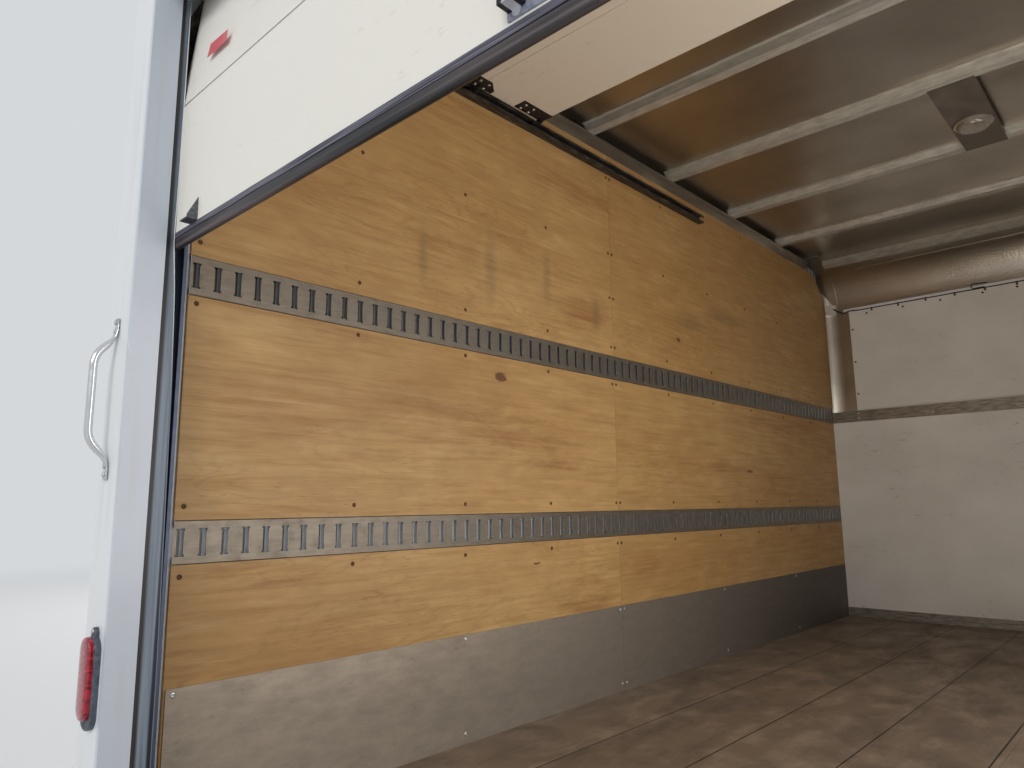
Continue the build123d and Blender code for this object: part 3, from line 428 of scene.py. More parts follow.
def plywood():
    """Veneer figure as the level lines of a smooth height that is long in Y, over fine fibre and soft tones.
    Each board of each sheet has its own part of the pattern; the stains have torn edges."""
    made, tree = new_material("varnished softwood plywood", {"IOR": 1.5})
    place = add(tree, "TexCoord", out="Object")
    x, y, z = (add(tree, "SeparateXYZ", (place,), out=i) for i in range(3))
    board, top = (add(tree, "Math", (z, height), operation="GREATER_THAN") for height in RAIL_Z)
    board = add(tree, "Math", (top, board), operation="ADD")
    sheet = add(tree, "Math", (y, SHEET_SEAM_Y), operation="GREATER_THAN")
    number = add(tree, "Math", (sheet, 3.0, board), operation="MULTIPLY_ADD")
    shift = add(tree, "VectorMath", {0: (1.7, 5.3, 2.9), 3: number}, operation="SCALE")
    veneer = add(tree, "VectorMath", (place, shift), operation="ADD")

    height = pattern(tree, "Noise", (900, 620, 105),
                     {"Detail": 2.5, "Roughness": 0.42, "Distortion": 0.25}, vector=veneer)
    rings = add(tree, "Math", (height, 16.0), operation="MULTIPLY")
    rings = add(tree, "Math", (rings, 0.5), operation="PINGPONG")
    late = add(tree, "MapRange", (rings, 0.0, 0.22, 1.0, 0.0))
    where = pattern(tree, "Noise", (900, 700, 210), {"Detail": 3.0}, vector=veneer)
    flame = add(tree, "Math", (late, add(tree, "MapRange", (where, 0.44, 0.66, 0.03, 0.3))),
                operation="MULTIPLY")
    streak = pattern(tree, "Noise", (900, 260, 13), {"Detail": 3.0, "Roughness": 0.6}, vector=veneer)
    fibre = pattern(tree, "Noise", (900, 60, 1.6), vector=veneer)
    tone = pattern(tree, "Noise", (900, 1100, 380), {"Detail": 3.0}, vector=veneer)
    blotch = pattern(tree, "Noise", (900, 130, 62), {"Detail": 3.0, "Roughness": 0.6}, vector=veneer)
    dash = pattern(tree, "Voronoi", (900, 55, 7), vector=veneer)
    dashes = overlap(tree, (dash, 0.1, 0.22, 0.4, 0.0), (where, 0.5, 0.6))

    ragged = pattern(tree, "Noise", (900, 120, 22), {"Detail": 3.0, "Roughness": 0.68}, out="Color")
    offset = add(tree, "VectorMath", (ragged, (-0.5, -0.5, -0.5)), operation="ADD")
    torn = add(tree, "VectorMath", (offset, (0.0, 0.3, 0.075)), operation="MULTIPLY")
    feathered = add(tree, "VectorMath", (place, torn), operation="ADD")
    soft = add(tree, "VectorMath", (offset, (0.0, 0.03, 0.03)), operation="MULTIPLY")
    softened = add(tree, "VectorMath", (place, soft), operation="ADD")
    left_wall = add(tree, "Math", (x, 0.0), operation="LESS_THAN")
    stain = add(tree, "Math", (spots(tree, feathered, STAINS), left_wall), operation="MULTIPLY")
    stain = add(tree, "Math", (stain, add(tree, "MapRange", (streak, 0.3, 0.62, 0.55, 1.5))),
                operation="MULTIPLY", use_clamp=True)
    knot = add(tree, "Math", (spots(tree, softened, KNOTS), left_wall), operation="MULTIPLY")
    smudge = add(tree, "Math", (spots(tree, softened, SMUDGES), left_wall), operation="MULTIPLY")

    # Darker on the front sheet and towards the top of the wall
    above = add(tree, "MapRange", (z, RAIL_Z[1] - 0.1, RAIL_Z[1] + 0.9, 0.0, 0.4))
    darker_front_and_top = add(tree, "Math", (sheet, 0.1, above), operation="MULTIPLY_ADD")
    wood = laid(tree, "#BE9C66", "#AC8550", tone, 0.3, 0.7)
    wood = add(tree, "Mix", {0: darker_front_and_top, 6: wood, 7: "#8E6736"}, out=2, data_type="RGBA")
    wood = laid(tree, wood, "#8F6C40", blotch, 0.45, 0.7, 0.3)
    wood = laid(tree, wood, "#CBAC76", blotch, 0.45, 0.25, 0.25)
    wood = laid(tree, wood, "#8E6637", streak, 0.45, 0.75, 0.5)
    wood = laid(tree, wood, "#CDB283", streak, 0.40, 0.22, 0.3)
    wood = laid(tree, wood, "#7F5C34", fibre, 0.3, 0.7, 0.2)
    wood = add(tree, "Mix", {0: flame, 6: wood, 7: "#885C30"}, out=2, data_type="RGBA")
    wood = add(tree, "Mix", {0: dashes, 6: wood, 7: "#6E4824"}, out=2, data_type="RGBA")
    resin = add(tree, "Math", (stain, 0.62), operation="MULTIPLY")
    wood = add(tree, "Mix", {0: resin, 6: wood, 7: "#7E4A22"}, out=2, data_type="RGBA")
    wood = laid(tree, wood, "#645640", smudge, 0.0, 0.8, 0.38)
    wood = laid(tree, wood, "#572A1B", knot, 0.1, 0.35, 0.85)
    relief = add(tree, "Math", (late, 0.4, fibre), operation="MULTIPLY_ADD")
    return joined(made, wood, add(tree, "MapRange", (streak, 0.3, 0.7, 0.46, 0.6)),
                  add(tree, "Bump", {"Distance": 0.14 * MM, "Height": relief}))


dress(pair("lining"), plywood())


# Screws of the lining: small dark heads in columns every 16 in, where the posts are, with two columns
# side by side at the sheet seam.
def quads(rows, columns, ring=False):
    """Corner numbers of the four-sided faces of a grid; a ring joins the last column to the first."""
    i, j = np.meshgrid(np.arange(rows - 1), np.arange(columns if ring else columns - 1), indexing="ij")
    right = (j + 1) % columns
    corners = (i * columns + j, i * columns + right, (i + 1) * columns + right, (i + 1) * columns + j)
    return np.stack(corners, axis=-1).reshape(-1, 4)


def turned(radii, heights, steps, half_run=0.0):
    """Turned form in mm: a profile of radii and heights carried round the Z axis in equal steps. With a half
    run the two half rounds move apart along Y by that much each way, so that it is long with round ends."""
    angle = np.linspace(0.0, 2 * np.pi, steps, endpoint=False)
    r, h = np.array(radii)[:, None], np.array(heights)[:, None]
    apart = half_run * np.sign(np.round(np.sin(angle), 9))
    corners = np.stack((r * np.cos(angle), r * np.sin(angle) + apart, h + 0 * angle), axis=-1)
    return corners.reshape(-1, 3) * MM, quads(len(radii), steps, ring=True)


def facing(direction):
    """Turn whose third column is the direction, with two more unit vectors square to it."""
    z = np.array(direction, float) / np.linalg.norm(direction)
    x = np.cross((0.0, 1.0, 0.0) if abs(z[1]) < 0.9 else (1.0, 0.0, 0.0), z)
    x /= np.linalg.norm(x)
    return np.stack((x, np.cross(z, x), z), axis=1)


def repeated(shape, places, turn=np.eye(3)):
    """The same shape at every place as one mesh: its corners are turned, then moved."""
    corners, faces = shape
    places = np.asarray(places, float)
    moved = (corners @ turn.T)[None] + places[:, None]
    numbers = faces[None] + len(corners) * np.arange(len(places))[:, None, None]
    return moved.reshape(-1, 3), numbers.reshape(-1, faces.shape[1])


def mirrored(shape):
    """The same shape on the other side of the body: X turned over, faces wound the other way."""
    corners, faces = shape
    return corners * (-1.0, 1.0, 1.0), faces[:, ::-1]


def together(*shapes):
    """Several shapes as one mesh."""
    counts = np.cumsum([0] + [len(corners) for corners, _ in shapes[:-1]])
    return (np.concatenate([corners for corners, _ in shapes]),
            np.concatenate([faces + n for (_, faces), n in zip(shapes, counts)]))


def piece(name, shape, material, smooth=True):
    """Object of a shape on the body, its doubled corners merged so that poles close."""
    corners, faces = shape
    mesh = bpy.data.meshes.new(name)
    mesh.vertices.add(len(corners))
    mesh.vertices.foreach_set("co", np.ascontiguousarray(corners, dtype=np.float32).ravel())
    mesh.loops.add(faces.size)
    mesh.loops.foreach_set("vertex_index", np.ascontiguousarray(faces, dtype=np.int32).ravel())
    mesh.polygons.add(len(faces))
    mesh.polygons.foreach_set("loop_start", np.arange(0, faces.size, faces.shape[1], dtype=np.int32))
    mesh.update(calc_edges=True)
    welded = bmesh.new()
    welded.from_mesh(mesh)
    bmesh.ops.remove_doubles(welded, verts=welded.verts, dist=1e-6)
    welded.to_mesh(mesh)
    welded.free()
    mesh.polygons.foreach_set("use_smooth", np.full(len(mesh.polygons), smooth))
    mesh.materials.append(material)
    made = bpy.data.objects.new(name, mesh)
    bpy.context.scene.collection.objects.link(made)
    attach(made, "root")
    return made


def both_sides(name, shape, material, smooth=True):
    """A piece of the left side and its mirror image; gives the two."""
    return (piece(name + "_left", shape, material, smooth),
            piece(name + "_right", mirrored(shape), material, smooth))


WALL_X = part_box("kick_plate_left")[0][0]
# Columns forwards from the first slot and rows above the floor, in inches
COLUMNS = (0.2, 17.9, 33.9, 49.9, 65.3, 66.3, 81.9, 97.8, 113.7, 129.7, 145.3)
ROWS = (21.1, 27.1, 45.4, 51.3, 66.7)
SCREW_HEAD = turned((6.2, 6.2, 5.2, 3.2, 2.3, 0.0), (-0.4, 0.3, 1.0, 1.2, 0.5, 0.4), 12)


def wall_places(columns, rows, x):
    """Places on a wall for columns and rows given in inches."""
    y, z = np.meshgrid(FIRST_SLOT_Y + np.array(columns) * INCH, FLOOR_Z + np.array(rows) * INCH,
                       indexing="ij")
    return np.stack((np.full(y.size, x), y.ravel(), z.ravel()), axis=1)


def clouded(name, constants, sizes_mm, detail, where, colours, rough):
    """Two tones of one finish in clouds of a size in mm: the noise mixes them between the values in where,
    and carries the roughness from one value to the other."""
    made, tree = new_material(name, constants)
    cloud = pattern(tree, "Noise", sizes_mm, {"Detail": detail})
    return joined(made, laid(tree, *colours, cloud, *where),
                  add(tree, "MapRange", (cloud, 0.3, 0.7, *rough)))


# Rust specks 3 mm across
screw_steel = clouded("browned screw steel", {"Metallic": 0.4}, (3, 3, 3), 4.0, (0.4, 0.65),
                      ("#45331F", "#6F4E2E"), (0.5, 0.75))
places = np.concatenate((
    wall_places(COLUMNS, ROWS, WALL_X), wall_places((65.3, 66.3), (59.3, 79.6), WALL_X),
    wall_places((81.9,), (79.6,), WALL_X), wall_places(COLUMNS[7:10], (82.3,), WALL_X),
))
both_sides("lining_screws", repeated(SCREW_HEAD, places, facing((1, 0, 0))), screw_steel)

# The same posts show outside as rows of bare round rivets every 4 in.
SKIN_RIVET = turned((5.5, 5.5, 4.6, 2.6, 0.0), (-0.3, 0.2, 1.0, 1.5, 1.7), 8)
rows = (0.300 + 0.1016 * np.arange(20) - FLOOR_Z) / INCH
places = wall_places(COLUMNS, rows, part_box("side_wall_left")[0][0])
both_sides("wall_rivets", repeated(SKIN_RIVET, places, facing((-1, 0, 0))), galvanised)


# Kick plates: hot-rolled steel sheet riveted along the foot of both walls, never painted, mottled dark grey
# with oil marks and scrapes that run along the wall.
def dark_steel():
    """Mottling 110 mm long by 38 mm high, dark flecks and fine scrapes along Y, and a painted falloff of
    light: lighter at the rear, darker forwards.
    """
    made, tree = new_material("hot-rolled steel sheet", {"Metallic": 0.5})
    mottle = pattern(tree, "Noise", (90, 110, 38), {"Detail": 4.5, "Roughness": 0.66})
    flecks = pattern(tree, "Noise", (12, 22, 9), {"Detail": 4.0, "Roughness": 0.7})
    scrape = pattern(tree, "Noise", (5, 160, 2.2), {"Detail": 3.0})
    # Painted falloff of light from the doorway: lighter at the rear, darker forwards
    forwards = add(tree, "MapRange", (axis(tree, 1), -1.6, 1.6))
    steel = add(tree, "Mix", {0: forwards, 6: "#AFA394", 7: "#4F4944"}, out=2, data_type="RGBA")
    steel = laid(tree, steel, "#6B645C", mottle, 0.35, 0.7, 0.45)
    steel = laid(tree, steel, "#3E3935", flecks, 0.62, 0.74, 0.45)
    steel = laid(tree, steel, "#A69E95", scrape, 0.62, 0.75, 0.35)
    return joined(made, steel, add(tree, "MapRange", (mottle, 0.3, 0.7, 0.4, 0.58)),
                  add(tree, "Bump", {"Distance": 0.25 * MM, "Height": mottle}))


dress(pair("kick_plate"), dark_steel())
# Bright zinc of their rivets, with a cloudy bloom 26 mm across
zinc = clouded("zinc plated steel", {"Metallic": 0.9}, (26, 26, 40), 5.0, (0.4, 0.7), ("#C9CBCC", "#96958F"),
               (0.25, 0.45))
RIVET = turned((6.5, 6.5, 5.4, 3.4, 2.0, 1.7, 0.0), (-0.4, 0.3, 1.2, 1.7, 1.7, 0.9, 0.8), 12)
places = wall_places((0.2, 33.9, 65.3, 66.4, 98.0, 130.0), (1.06, 11.5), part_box("kick_plate_left")[1][0])
both_sides("kick_plate_rivets", repeated(RIVET, places, facing((1, 0, 0))), zinc)


# Cargo rails: strips of pressed steel seated in the lining, with a slot every 2 in for strap fittings. Their
# zinc finish has gone grey-brown and is rubbed bright along the lips, where a highlight is painted too.
def rail_steel():
    """Brown-grey zinc with rub marks 60 mm long and dark specks. The two lips are rubbed bright and carry a
    painted highlight; the fold has painted shade and the edge a painted shadow line. The cut edges of the
    slots, which face along the body, carry painted light."""
    made, tree = new_material("weathered zinc plated steel", {"Metallic": 0.8})
    rub = pattern(tree, "Noise", (20, 60, 8), {"Detail": 5.0})
    grime = pattern(tree, "Noise", (30, 34, 30), {"Detail": 5.0, "Roughness": 0.65})
    z = axis(tree, 2)
    off = [add(tree, "Math", (z, height), operation="SUBTRACT") for height in RAIL_Z]
    off = [add(tree, "Math", (value,), operation="ABSOLUTE") for value in off]
    off = add(tree, "Math", off, operation="MINIMUM")
    steel = laid(tree, "#776F65", "#857D71", rub, 0.3, 0.7)
    # Painted highlight on the lips, over rubbed zinc
    steel = laid(tree, steel, "#B9AE9C", off, 0.0500, 0.0525, 0.55)
    # Painted shadow line along the edge
    steel = laid(tree, steel, "#1C1916", off, 0.0612, 0.0622, 0.85)
    # Painted shade in the fold
    fold = overlap(tree, (off, 0.0455, 0.048), (off, 0.0512, 0.0495))
    shade = add(tree, "Math", (fold, 0.5), operation="MULTIPLY")
    steel = add(tree, "Mix", {0: shade, 6: steel, 7: "#3A352F"}, out=2, data_type="RGBA")
    steel = laid(tree, steel, "#575048", grime, 0.56, 0.8, 0.45)
    # Painted light on the slots' cut edges, which face along the body
    cut = add(tree, "SeparateXYZ", (add(tree, "NewGeometry", out="Normal"),), out=1)
    cut = add(tree, "Math", (cut,), operation="ABSOLUTE")
    steel = laid(tree, steel, "#E4E9EF", cut, 0.6, 0.9)
    return joined(made, steel, add(tree, "MapRange", (grime, 0.3, 0.7, 0.36, 0.55)),
                  add(tree, "Bump", {"Distance": 0.1 * MM, "Height": rub}))


RAIL_BACK_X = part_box("lower_cargo_rail_left")[0][0]
RAIL_START, RAIL_END = (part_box("lower_cargo_rail_left")[i][1] for i in (0, 1))
# Lower half of the section in mm, depth from the wall and height from the rail's middle
ROOM_SIDE = ((2.7, -63.5), (2.7, -52.4), (3.7, -51.0), (11.3, -47.6),
             (12.7, -46.0), (12.7, -30.5), (12.7, -25.5))
WALL_SIDE = ((0.0, -63.5), (0.0, -50.6), (1.4, -48.6), (9.0, -45.2),
             (10.0, -43.8), (10.0, -30.5), (10.0, -25.5))
SLOTS = 80
# Rows of the section's faces in which the two cross bars of a slot lie
BAR_ROWS = (5, 7)


def pressed(room, wall, solid):
    """Sheet with openings from two grids of corners, its two sides. Every solid cell gets a face on both,
    and every edge between a solid cell and an opening or the border gets a wall across the sheet."""
    rows, columns = room.shape[:2]
    number = np.arange(rows * columns).reshape(rows, columns)
    beyond = rows * columns
    cells = np.stack((number[:-1, :-1], number[:-1, 1:], number[1:, 1:], number[1:, :-1]), axis=-1)[solid]
    walls = []
    padded = np.pad(solid, 1)
    after, before = padded[1:, 1:-1], padded[:-1, 1:-1]
    for start, end, here in ((number[:, 1:], number[:, :-1], after & ~before),
                             (number[:, :-1], number[:, 1:], before & ~after)):
        walls.append(np.stack((start, end, end + beyond, start + beyond), axis=-1)[here])
    after, before = padded[1:-1, 1:], padded[1:-1, :-1]
    for start, end, here in ((number[:-1], number[1:], after & ~before),
                             (number[1:], number[:-1], before & ~after)):
        walls.append(np.stack((start, end, end + beyond, start + beyond), axis=-1)[here])
    corners = np.concatenate((room.reshape(-1, 3), wall.reshape(-1, 3)))
    return corners, np.concatenate([cells, cells[:, ::-1] + beyond, *walls])


def slotted_rail(height):
    """Left rail with its middle at a height: the section carried along Y, less an I in every pitch, which is
    15.5 mm wide and 61 mm high with cross bars of 20 by 5 mm."""
    slots = FIRST_SLOT_Y + SLOT_PITCH * np.arange(SLOTS)
    edges = (slots[:, None] + np.array((-10.0, -7.75, 7.75, 10.0)) * MM).ravel()
    y = np.concatenate(([RAIL_START], edges, [RAIL_END]))
    sides = []
    for rows in (ROOM_SIDE, WALL_SIDE):
        half = np.array(rows)
        depth, z = np.concatenate((half, half[::-1] * (1, -1))).T * MM
        depth, z, along = np.broadcast_arrays(depth[:, None], z[:, None], y[None])
        sides.append(np.stack((RAIL_BACK_X + depth, along, height + z), axis=-1))
    part = np.arange(len(y) - 1) % 4
    row = np.arange(sides[0].shape[0] - 1)[:, None]
    stem = (part == 2) & (row >= BAR_ROWS[0]) & (row <= BAR_ROWS[1])
    opening = stem | ((part % 2 == 1) & np.isin(row, BAR_ROWS))
    return pressed(*sides, ~opening)


rail_finish = rail_steel()
for name, height in zip(("lower_cargo_rail", "upper_cargo_rail"), RAIL_Z):
    rails = both_sides(name + "_slotted", slotted_rail(height), rail_finish, smooth=False)
    for rail, node in zip(rails, pair(name)):
        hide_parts(node)


# Roof sheet, roof side rails, front corner posts and caps: mill-finish aluminium, dull silver with rolling
# lines along the body; it mirrors the wood around it as soft brown.
def mill_aluminium():
    """Rolling lines 1.5 mm apart, cloudy oxide 300 mm across and shallow dents; round the front radius
    the sheet is beaten, with marks 13 mm across."""
    made, tree = new_material("mill-finish aluminium", {"Metallic": 1.0})
    lines = pattern(tree, "Noise", (1.5, 400, 1.5))
    cloud = pattern(tree, "Noise", (330, 300, 200), {"Detail": 5.0})
    dent = pattern(tree, "Noise", (240, 420, 240), {"Detail": 1.0})
    y, z = (axis(tree, i) for i in (1, 2))
    radius = overlap(tree, (y, 1.86, 1.95), (z, 2.09, 2.11, 0.0, 0.2))
    marks = pattern(tree, "Voronoi", (13, 13, 13))
    beaten = add(tree, "Math", (marks, radius, dent), operation="MULTIPLY_ADD")
    relief = add(tree, "Math", (lines, 0.02, beaten), operation="MULTIPLY_ADD")
    return joined(made, laid(tree, "#C1BBB2", "#ABA398", cloud, 0.35, 0.7),
                  add(tree, "MapRange", (cloud, 0.3, 0.7, 0.28, 0.36)),
                  add(tree, "Bump", {"Distance": 2.2 * MM, "Height": relief}))


dress(("roof_skin", "front_radius_bar", *pair("top_rail"), *pair("front_corner_post"), *pair("corner_cap")),
      mill_aluminium())


# Front wall inside: two white faced liner boards, screwed along their edges. The lower one stands in, and
# loads have scuffed and marked both.
def white_liner():
    """Off-white facing with grey-brown scuffs 44 mm long, gathered in patches 330 mm across."""
    made, tree = new_material("white faced liner board", {"IOR": 1.5})
    scuff = pattern(tree, "Noise", (44, 44, 16), {"Detail": 5.0, "Roughness": 0.7, "Distortion": 0.6})
    where = pattern(tree, "Noise", (330, 330, 260))
    marks = overlap(tree, (scuff, 0.6, 0.72), (where, 0.46, 0.62, 0.0, 0.6))
    board = laid(tree, "#E4E1DB", "#D6D2CB", where, 0.3, 0.7)
    return joined(made, add(tree, "Mix", {0: marks, 6: board, 7: "#6C6459"}, out=2, data_type="RGBA"),
                  add(tree, "MapRange", (where, 0.3, 0.7, 0.3, 0.46)),
                  add(tree, "Bump", {"Distance": 0.6 * MM, "Height": where}))


dress(("front_lower_panel", "front_upper_panel"), white_liner())


# Middle and foot rails of the front wall and the bottom side rails: riveted aluminium extrusions, gone grey
# with oxide and grime.
def dull_aluminium():
    """Grey oxide with dark grime in streaks 60 mm long and 9 mm high."""
    made, tree = new_material("weathered aluminium extrusion", {"Metallic": 0.85})
    grime = pattern(tree, "Noise", (60, 60, 9), {"Detail": 4.5, "Roughness": 0.6})
    return joined(made, laid(tree, "#A8A297", "#7B7368", grime, 0.36, 0.68),
                  add(tree, "MapRange", (grime, 0.3, 0.7, 0.36, 0.6)),
                  add(tree, "Bump", {"Distance": 0.15 * MM, "Height": grime}))


dress(("front_mid_rail", "front_foot_rail", *pair("bottom_rail")), dull_aluminium())
PANEL_Y, RAIL_FACE_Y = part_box("front_upper_panel")[0][1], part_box("front_mid_rail")[0][1]


def front_places(rows):
    """Places on the front wall, and on its other half, for rows of mm from the middle, metres of Y and mm
    above the floor."""
    x, y, z = np.array(rows).T
    half = np.stack((-x * MM, y, FLOOR_Z + z * MM), axis=1)
    return np.concatenate((half, half[half[:, 0] < 0] * (-1, 1, 1)))


TO_THE_REAR = facing((0, -1, 0))
tops = [(x, PANEL_Y, 1852) for x in (121, 286, 501, 703, 912)]
sides = [(1003, PANEL_Y, z) for z in (1347, 1551, 1759)]
piece("front_panel_screws", repeated(SCREW_HEAD, front_places(tops + sides), TO_THE_REAR), screw_steel)
rivets = [(x, RAIL_FACE_Y, 1195) for x in (182, 595, 1008)] + [(1008, RAIL_FACE_Y, 1222)]
piece("mid_rail_rivets", repeated(RIVET, front_places(rivets), TO_THE_REAR), zinc)


# Seals of the roll-up door: extruded rubber strips along both sides of the doorway and under the lowest
# section, chalky where they are handled.
def black_rubber(name, chalk, bloom_mm=(20, 20, 60), sheen_from=None):
    """Black with chalky bloom that is long the way the rubber runs. The door's side rubbers get a painted
    blue-grey sheen from 10 to 32 mm in front of the edge given in metres, and a painted navy shade beyond."""
    made, tree = new_material(name, {"IOR": 1.5})
    bloom = pattern(tree, "Noise", bloom_mm, {"Detail": 4.0})
    black = laid(tree, "#17181C", chalk, bloom, 0.4, 0.7)
    if sheen_from is not None:
        y = axis(tree, 1)
        # Painted sheen in a band in front of the edge, painted navy shade beyond it
        painted_sheen_band = add(tree, "MapRange", (y, sheen_from + 0.007, sheen_from + 0.012))
        sheen = laid(tree, "#5B6775", "#7F8C9B", bloom, 0.35, 0.65)
        black = add(tree, "Mix", {0: painted_sheen_band, 6: black, 7: sheen}, out=2, data_type="RGBA")
        black = laid(tree, black, "#161D2C", y, sheen_from + 0.030, sheen_from + 0.033)
    return joined(made, black, add(tree, "MapRange", (bloom, 0.3, 0.7, 0.34, 0.55)),
                  add(tree, "Bump", {"Distance": 0.1 * MM, "Height": bloom}))


rubber = black_rubber("black extruded rubber", "#2E2F33")
SEAL_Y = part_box("door_seals")[0][1]
dress(("door_seals",), black_rubber("black side rubber", "#2E2B2A", (8, 8, 300), SEAL_Y))
dress(("door_bottom_seal",), black_rubber("grey-brown bottom rubber", "#625759", (500, 9, 9)))
REAR, FLOOR = REAR_Y / MM, FLOOR_Z / MM


# Lamp cable: a black sheathed cord clipped along the top of the front panel, which dips out of the corner
# castings at both ends and sends three short tails up to the front marker lamps.
def eased(points, reach, count=6):
    """Path in mm whose corners are eased: each becomes the curve (1-t)^2 A + 2t(1-t) B + t^2 C between a
    place one reach before it and a place one reach after it, held within the legs."""
    points = np.array(points, float)
    leg = np.diff(points, axis=0)
    length = np.linalg.norm(leg, axis=1, keepdims=True)
    way = leg / length
    t = np.linspace(0.0, 1.0, count)[:, None]
    path = [points[:1]]
    for i in range(1, len(points) - 1):
        before = points[i] - way[i - 1] * min(reach, 0.5 * length[i - 1, 0])
        after = points[i] + way[i] * min(reach, 0.5 * length[i, 0])
        path.append((1 - t) ** 2 * before + 2 * t * (1 - t) * points[i] + t ** 2 * after)
    path.append(points[-1:])
    path = np.concatenate(path)
    return path[np.concatenate(([True], np.linalg.norm(np.diff(path, axis=0), axis=1) > 1e-3))]


def swept(path, side, wide, thick, steps=12):
    """Oval section carried along a path in mm: wide is its half width along the side direction and thick
    its half width square to that, both one value or one for each place. Both ends are closed."""
    path = np.array(path, float)
    way = np.gradient(path, axis=0)
    way /= np.linalg.norm(way, axis=1, keepdims=True)
    across = np.array(side, float) - way * (way @ np.array(side, float))[:, None]
    across /= np.linalg.norm(across, axis=1, keepdims=True)
    other = np.cross(way, across)
    wide, thick = (np.broadcast_to(value, len(path)).astype(float) for value in (wide, thick))
    ends = np.concatenate(([0], np.arange(len(path)), [len(path) - 1]))
    full = np.concatenate(([0.0], np.ones(len(path)), [0.0]))
    angle = np.linspace(0.0, 2 * np.pi, steps, endpoint=False)[:, None]
    around = (across[ends][:, None] * np.cos(angle) * (wide[ends] * full)[:, None, None]
              + other[ends][:, None] * np.sin(angle) * (thick[ends] * full)[:, None, None])
    corners = path[ends][:, None] + around
    return corners.reshape(-1, 3) * MM, quads(len(ends), steps, ring=True)


FRONT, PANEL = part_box("front_wall")[1][1] / MM, PANEL_Y / MM
CABLE_Z = FLOOR + 1879.5
bends = ((1110, FRONT - 24, CABLE_Z + 33), (1074, FRONT - 33, CABLE_Z + 7), (1046, FRONT - 38, CABLE_Z - 7),
         (1012, FRONT - 37, CABLE_Z + 4), (955, PANEL + 2, CABLE_Z))
route = np.concatenate((np.array(bends) * (-1, 1, 1), bends[::-1]))
cable = piece("lamp_cable_cord", swept(eased(route, 14.0), (0, 1, 0), 3.5, 3.5), rubber)
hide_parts("lamp_cable")

tails = []
for x in (-265, 0, 265):
    loop = ((-10, PANEL + 2, 9.4), (-66, PANEL, 9.4), (-76, PANEL + 1, 19), (-76, PANEL + 3, 30),
            (-66, PANEL + 4, 39), (0, FRONT - 5, 37))
    loop = [(x + dx, y, FLOOR + 1876 + z) for dx, y, z in loop]
    tails.append(swept(eased(loop, 9.0), (0, 1, 0), 2.4, 2.4))
tail_cords = piece("lamp_pigtail_cords", together(*tails), rubber)
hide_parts("lamp_pigtails")

bow = np.linspace(-0.5 * np.pi, 0.5 * np.pi, 9)
over = np.stack((0 * bow, PANEL + 2 - 4.6 * np.cos(bow), CABLE_Z + 4.6 * np.sin(bow)), axis=1)
foot = ((0, PANEL - 0.8, CABLE_Z - 6.5), (0, PANEL - 0.8, CABLE_Z - 16.0))
strap = swept(np.concatenate((foot[::-1], over)), (1, 0, 0), 5.0, 0.7, 8)
clips = np.array([(sign * (120 + 152 * i) * MM, 0, 0) for i in range(6) for sign in (-1, 1)])
piece("cable_clips", repeated(strap, clips), rubber)
places = clips + (0, PANEL_Y - 1.4 * MM, (CABLE_Z - 12.0) * MM)
piece("cable_clip_screws", repeated(SCREW_HEAD, places, TO_THE_REAR), screw_steel)


# Roll-up door: six sections with a plywood core faced in white, hinged end to end. A rounded tongue closes
# each joint, so that no gap opens where the door bends.
def white_door():
    """Cream-white facing with faint roller waves and dirty marks. Faces that look down, as the inner face
    does where the door is rolled up under the roof, are painted beige-grey as painted shade."""
    made, tree = new_material("white faced door panel", {"IOR": 1.5})
    haze = pattern(tree, "Noise", (420, 200, 200), {"Detail": 5.0})
    marks = pattern(tree, "Noise", (60, 20, 20), {"Detail": 4.5, "Roughness": 0.7})
    dirt = overlap(tree, (marks, 0.6, 0.75, 0.0, 0.5), (haze, 0.45, 0.65))
    facing_down = add(tree, "SeparateXYZ", (add(tree, "NewGeometry", out="Normal"),), out=2)
    # Painted shade on faces that look down
    face = laid(tree, "#EAE7DF", "#C9C0B2", facing_down, -0.3, -0.9)
    return joined(made, add(tree, "Mix", {0: dirt, 6: face, 7: "#A59C8E"}, out=2, data_type="RGBA"),
                  add(tree, "MapRange", (haze, 0.3, 0.7, 0.32, 0.46)),
                  add(tree, "Bump", {"Distance": 0.4 * MM, "Height": haze}))


door_face = white_door()
dress(("door_sections",), door_face)
# Middle of each joint of the door in mm: forwards from the rear frame and above the bottom of the sills
JOINTS = np.array(((0, 87, 1796.0), (0, 127, 2109.0), (0, 393, 2279.0), (0, 710, 2280.6), (0, 1025, 2280.6)))
tongue = swept(((-1117.5, REAR, 0), (1117.5, REAR, 0)), (0, 1, 0), 6.5, 6.5, 16)
piece("door_joint_tongues", repeated(tongue, JOINTS * MM), door_face)


# Beads of the side rubbers: a thin cord moulded along their free edge, which the door presses back where it
# stands and lets out below. Its pale colour is a painted highlight.
def painted_highlight_bead():
    """Painted highlight: near white high up, painted blue-grey towards its foot as the light fades."""
    made, tree = new_material("painted highlight bead", {"Roughness": 0.35})
    # Painted highlight, white at the top and blue-grey lower down
    colour = laid(tree, "#6F7D8E", "#E6E8EB", axis(tree, 2), FLOOR_Z + 0.9, FLOOR_Z + 1.25)
    return joined(made, colour)


# Line of the free edge in mm: forwards from the rubber's foot and above the floor
EDGE = ((40, 0), (40, 356), (35, 711), (31.5, 940), (24, 1168), (15.5, 1262), (17.5, 1372),
        (18, 1575), (18, 1853))
bead = [(-1103.0, REAR + 60 + width, FLOOR + max(z, 1)) for width, z in EDGE]
bead = swept(eased(bead, 60.0, 8), (1, 0, 0), 1.4, 1.4, 8)
both_sides("door_seal_beads", bead, painted_highlight_bead())


# Door trim: a strip of red reflective tape stuck near each end of one section, as the law asks on the rear
# of a body.
def flat_plate(outline, y, thick):
    """Plate that faces the rear, from its four (x, z) corners in mm, anticlockwise as seen from the rear."""
    x, z = np.array(outline, float).T
    near = np.stack((x, 0 * x + y - thick, z), axis=1)
    i = np.arange(4)
    after = (i + 1) % 4
    faces = np.stack((i, i[::-1] + 4, *np.stack((after, i, i + 4, after + 4), axis=1)))
    return np.concatenate((near, near + (0, thick, 0))) * MM, faces


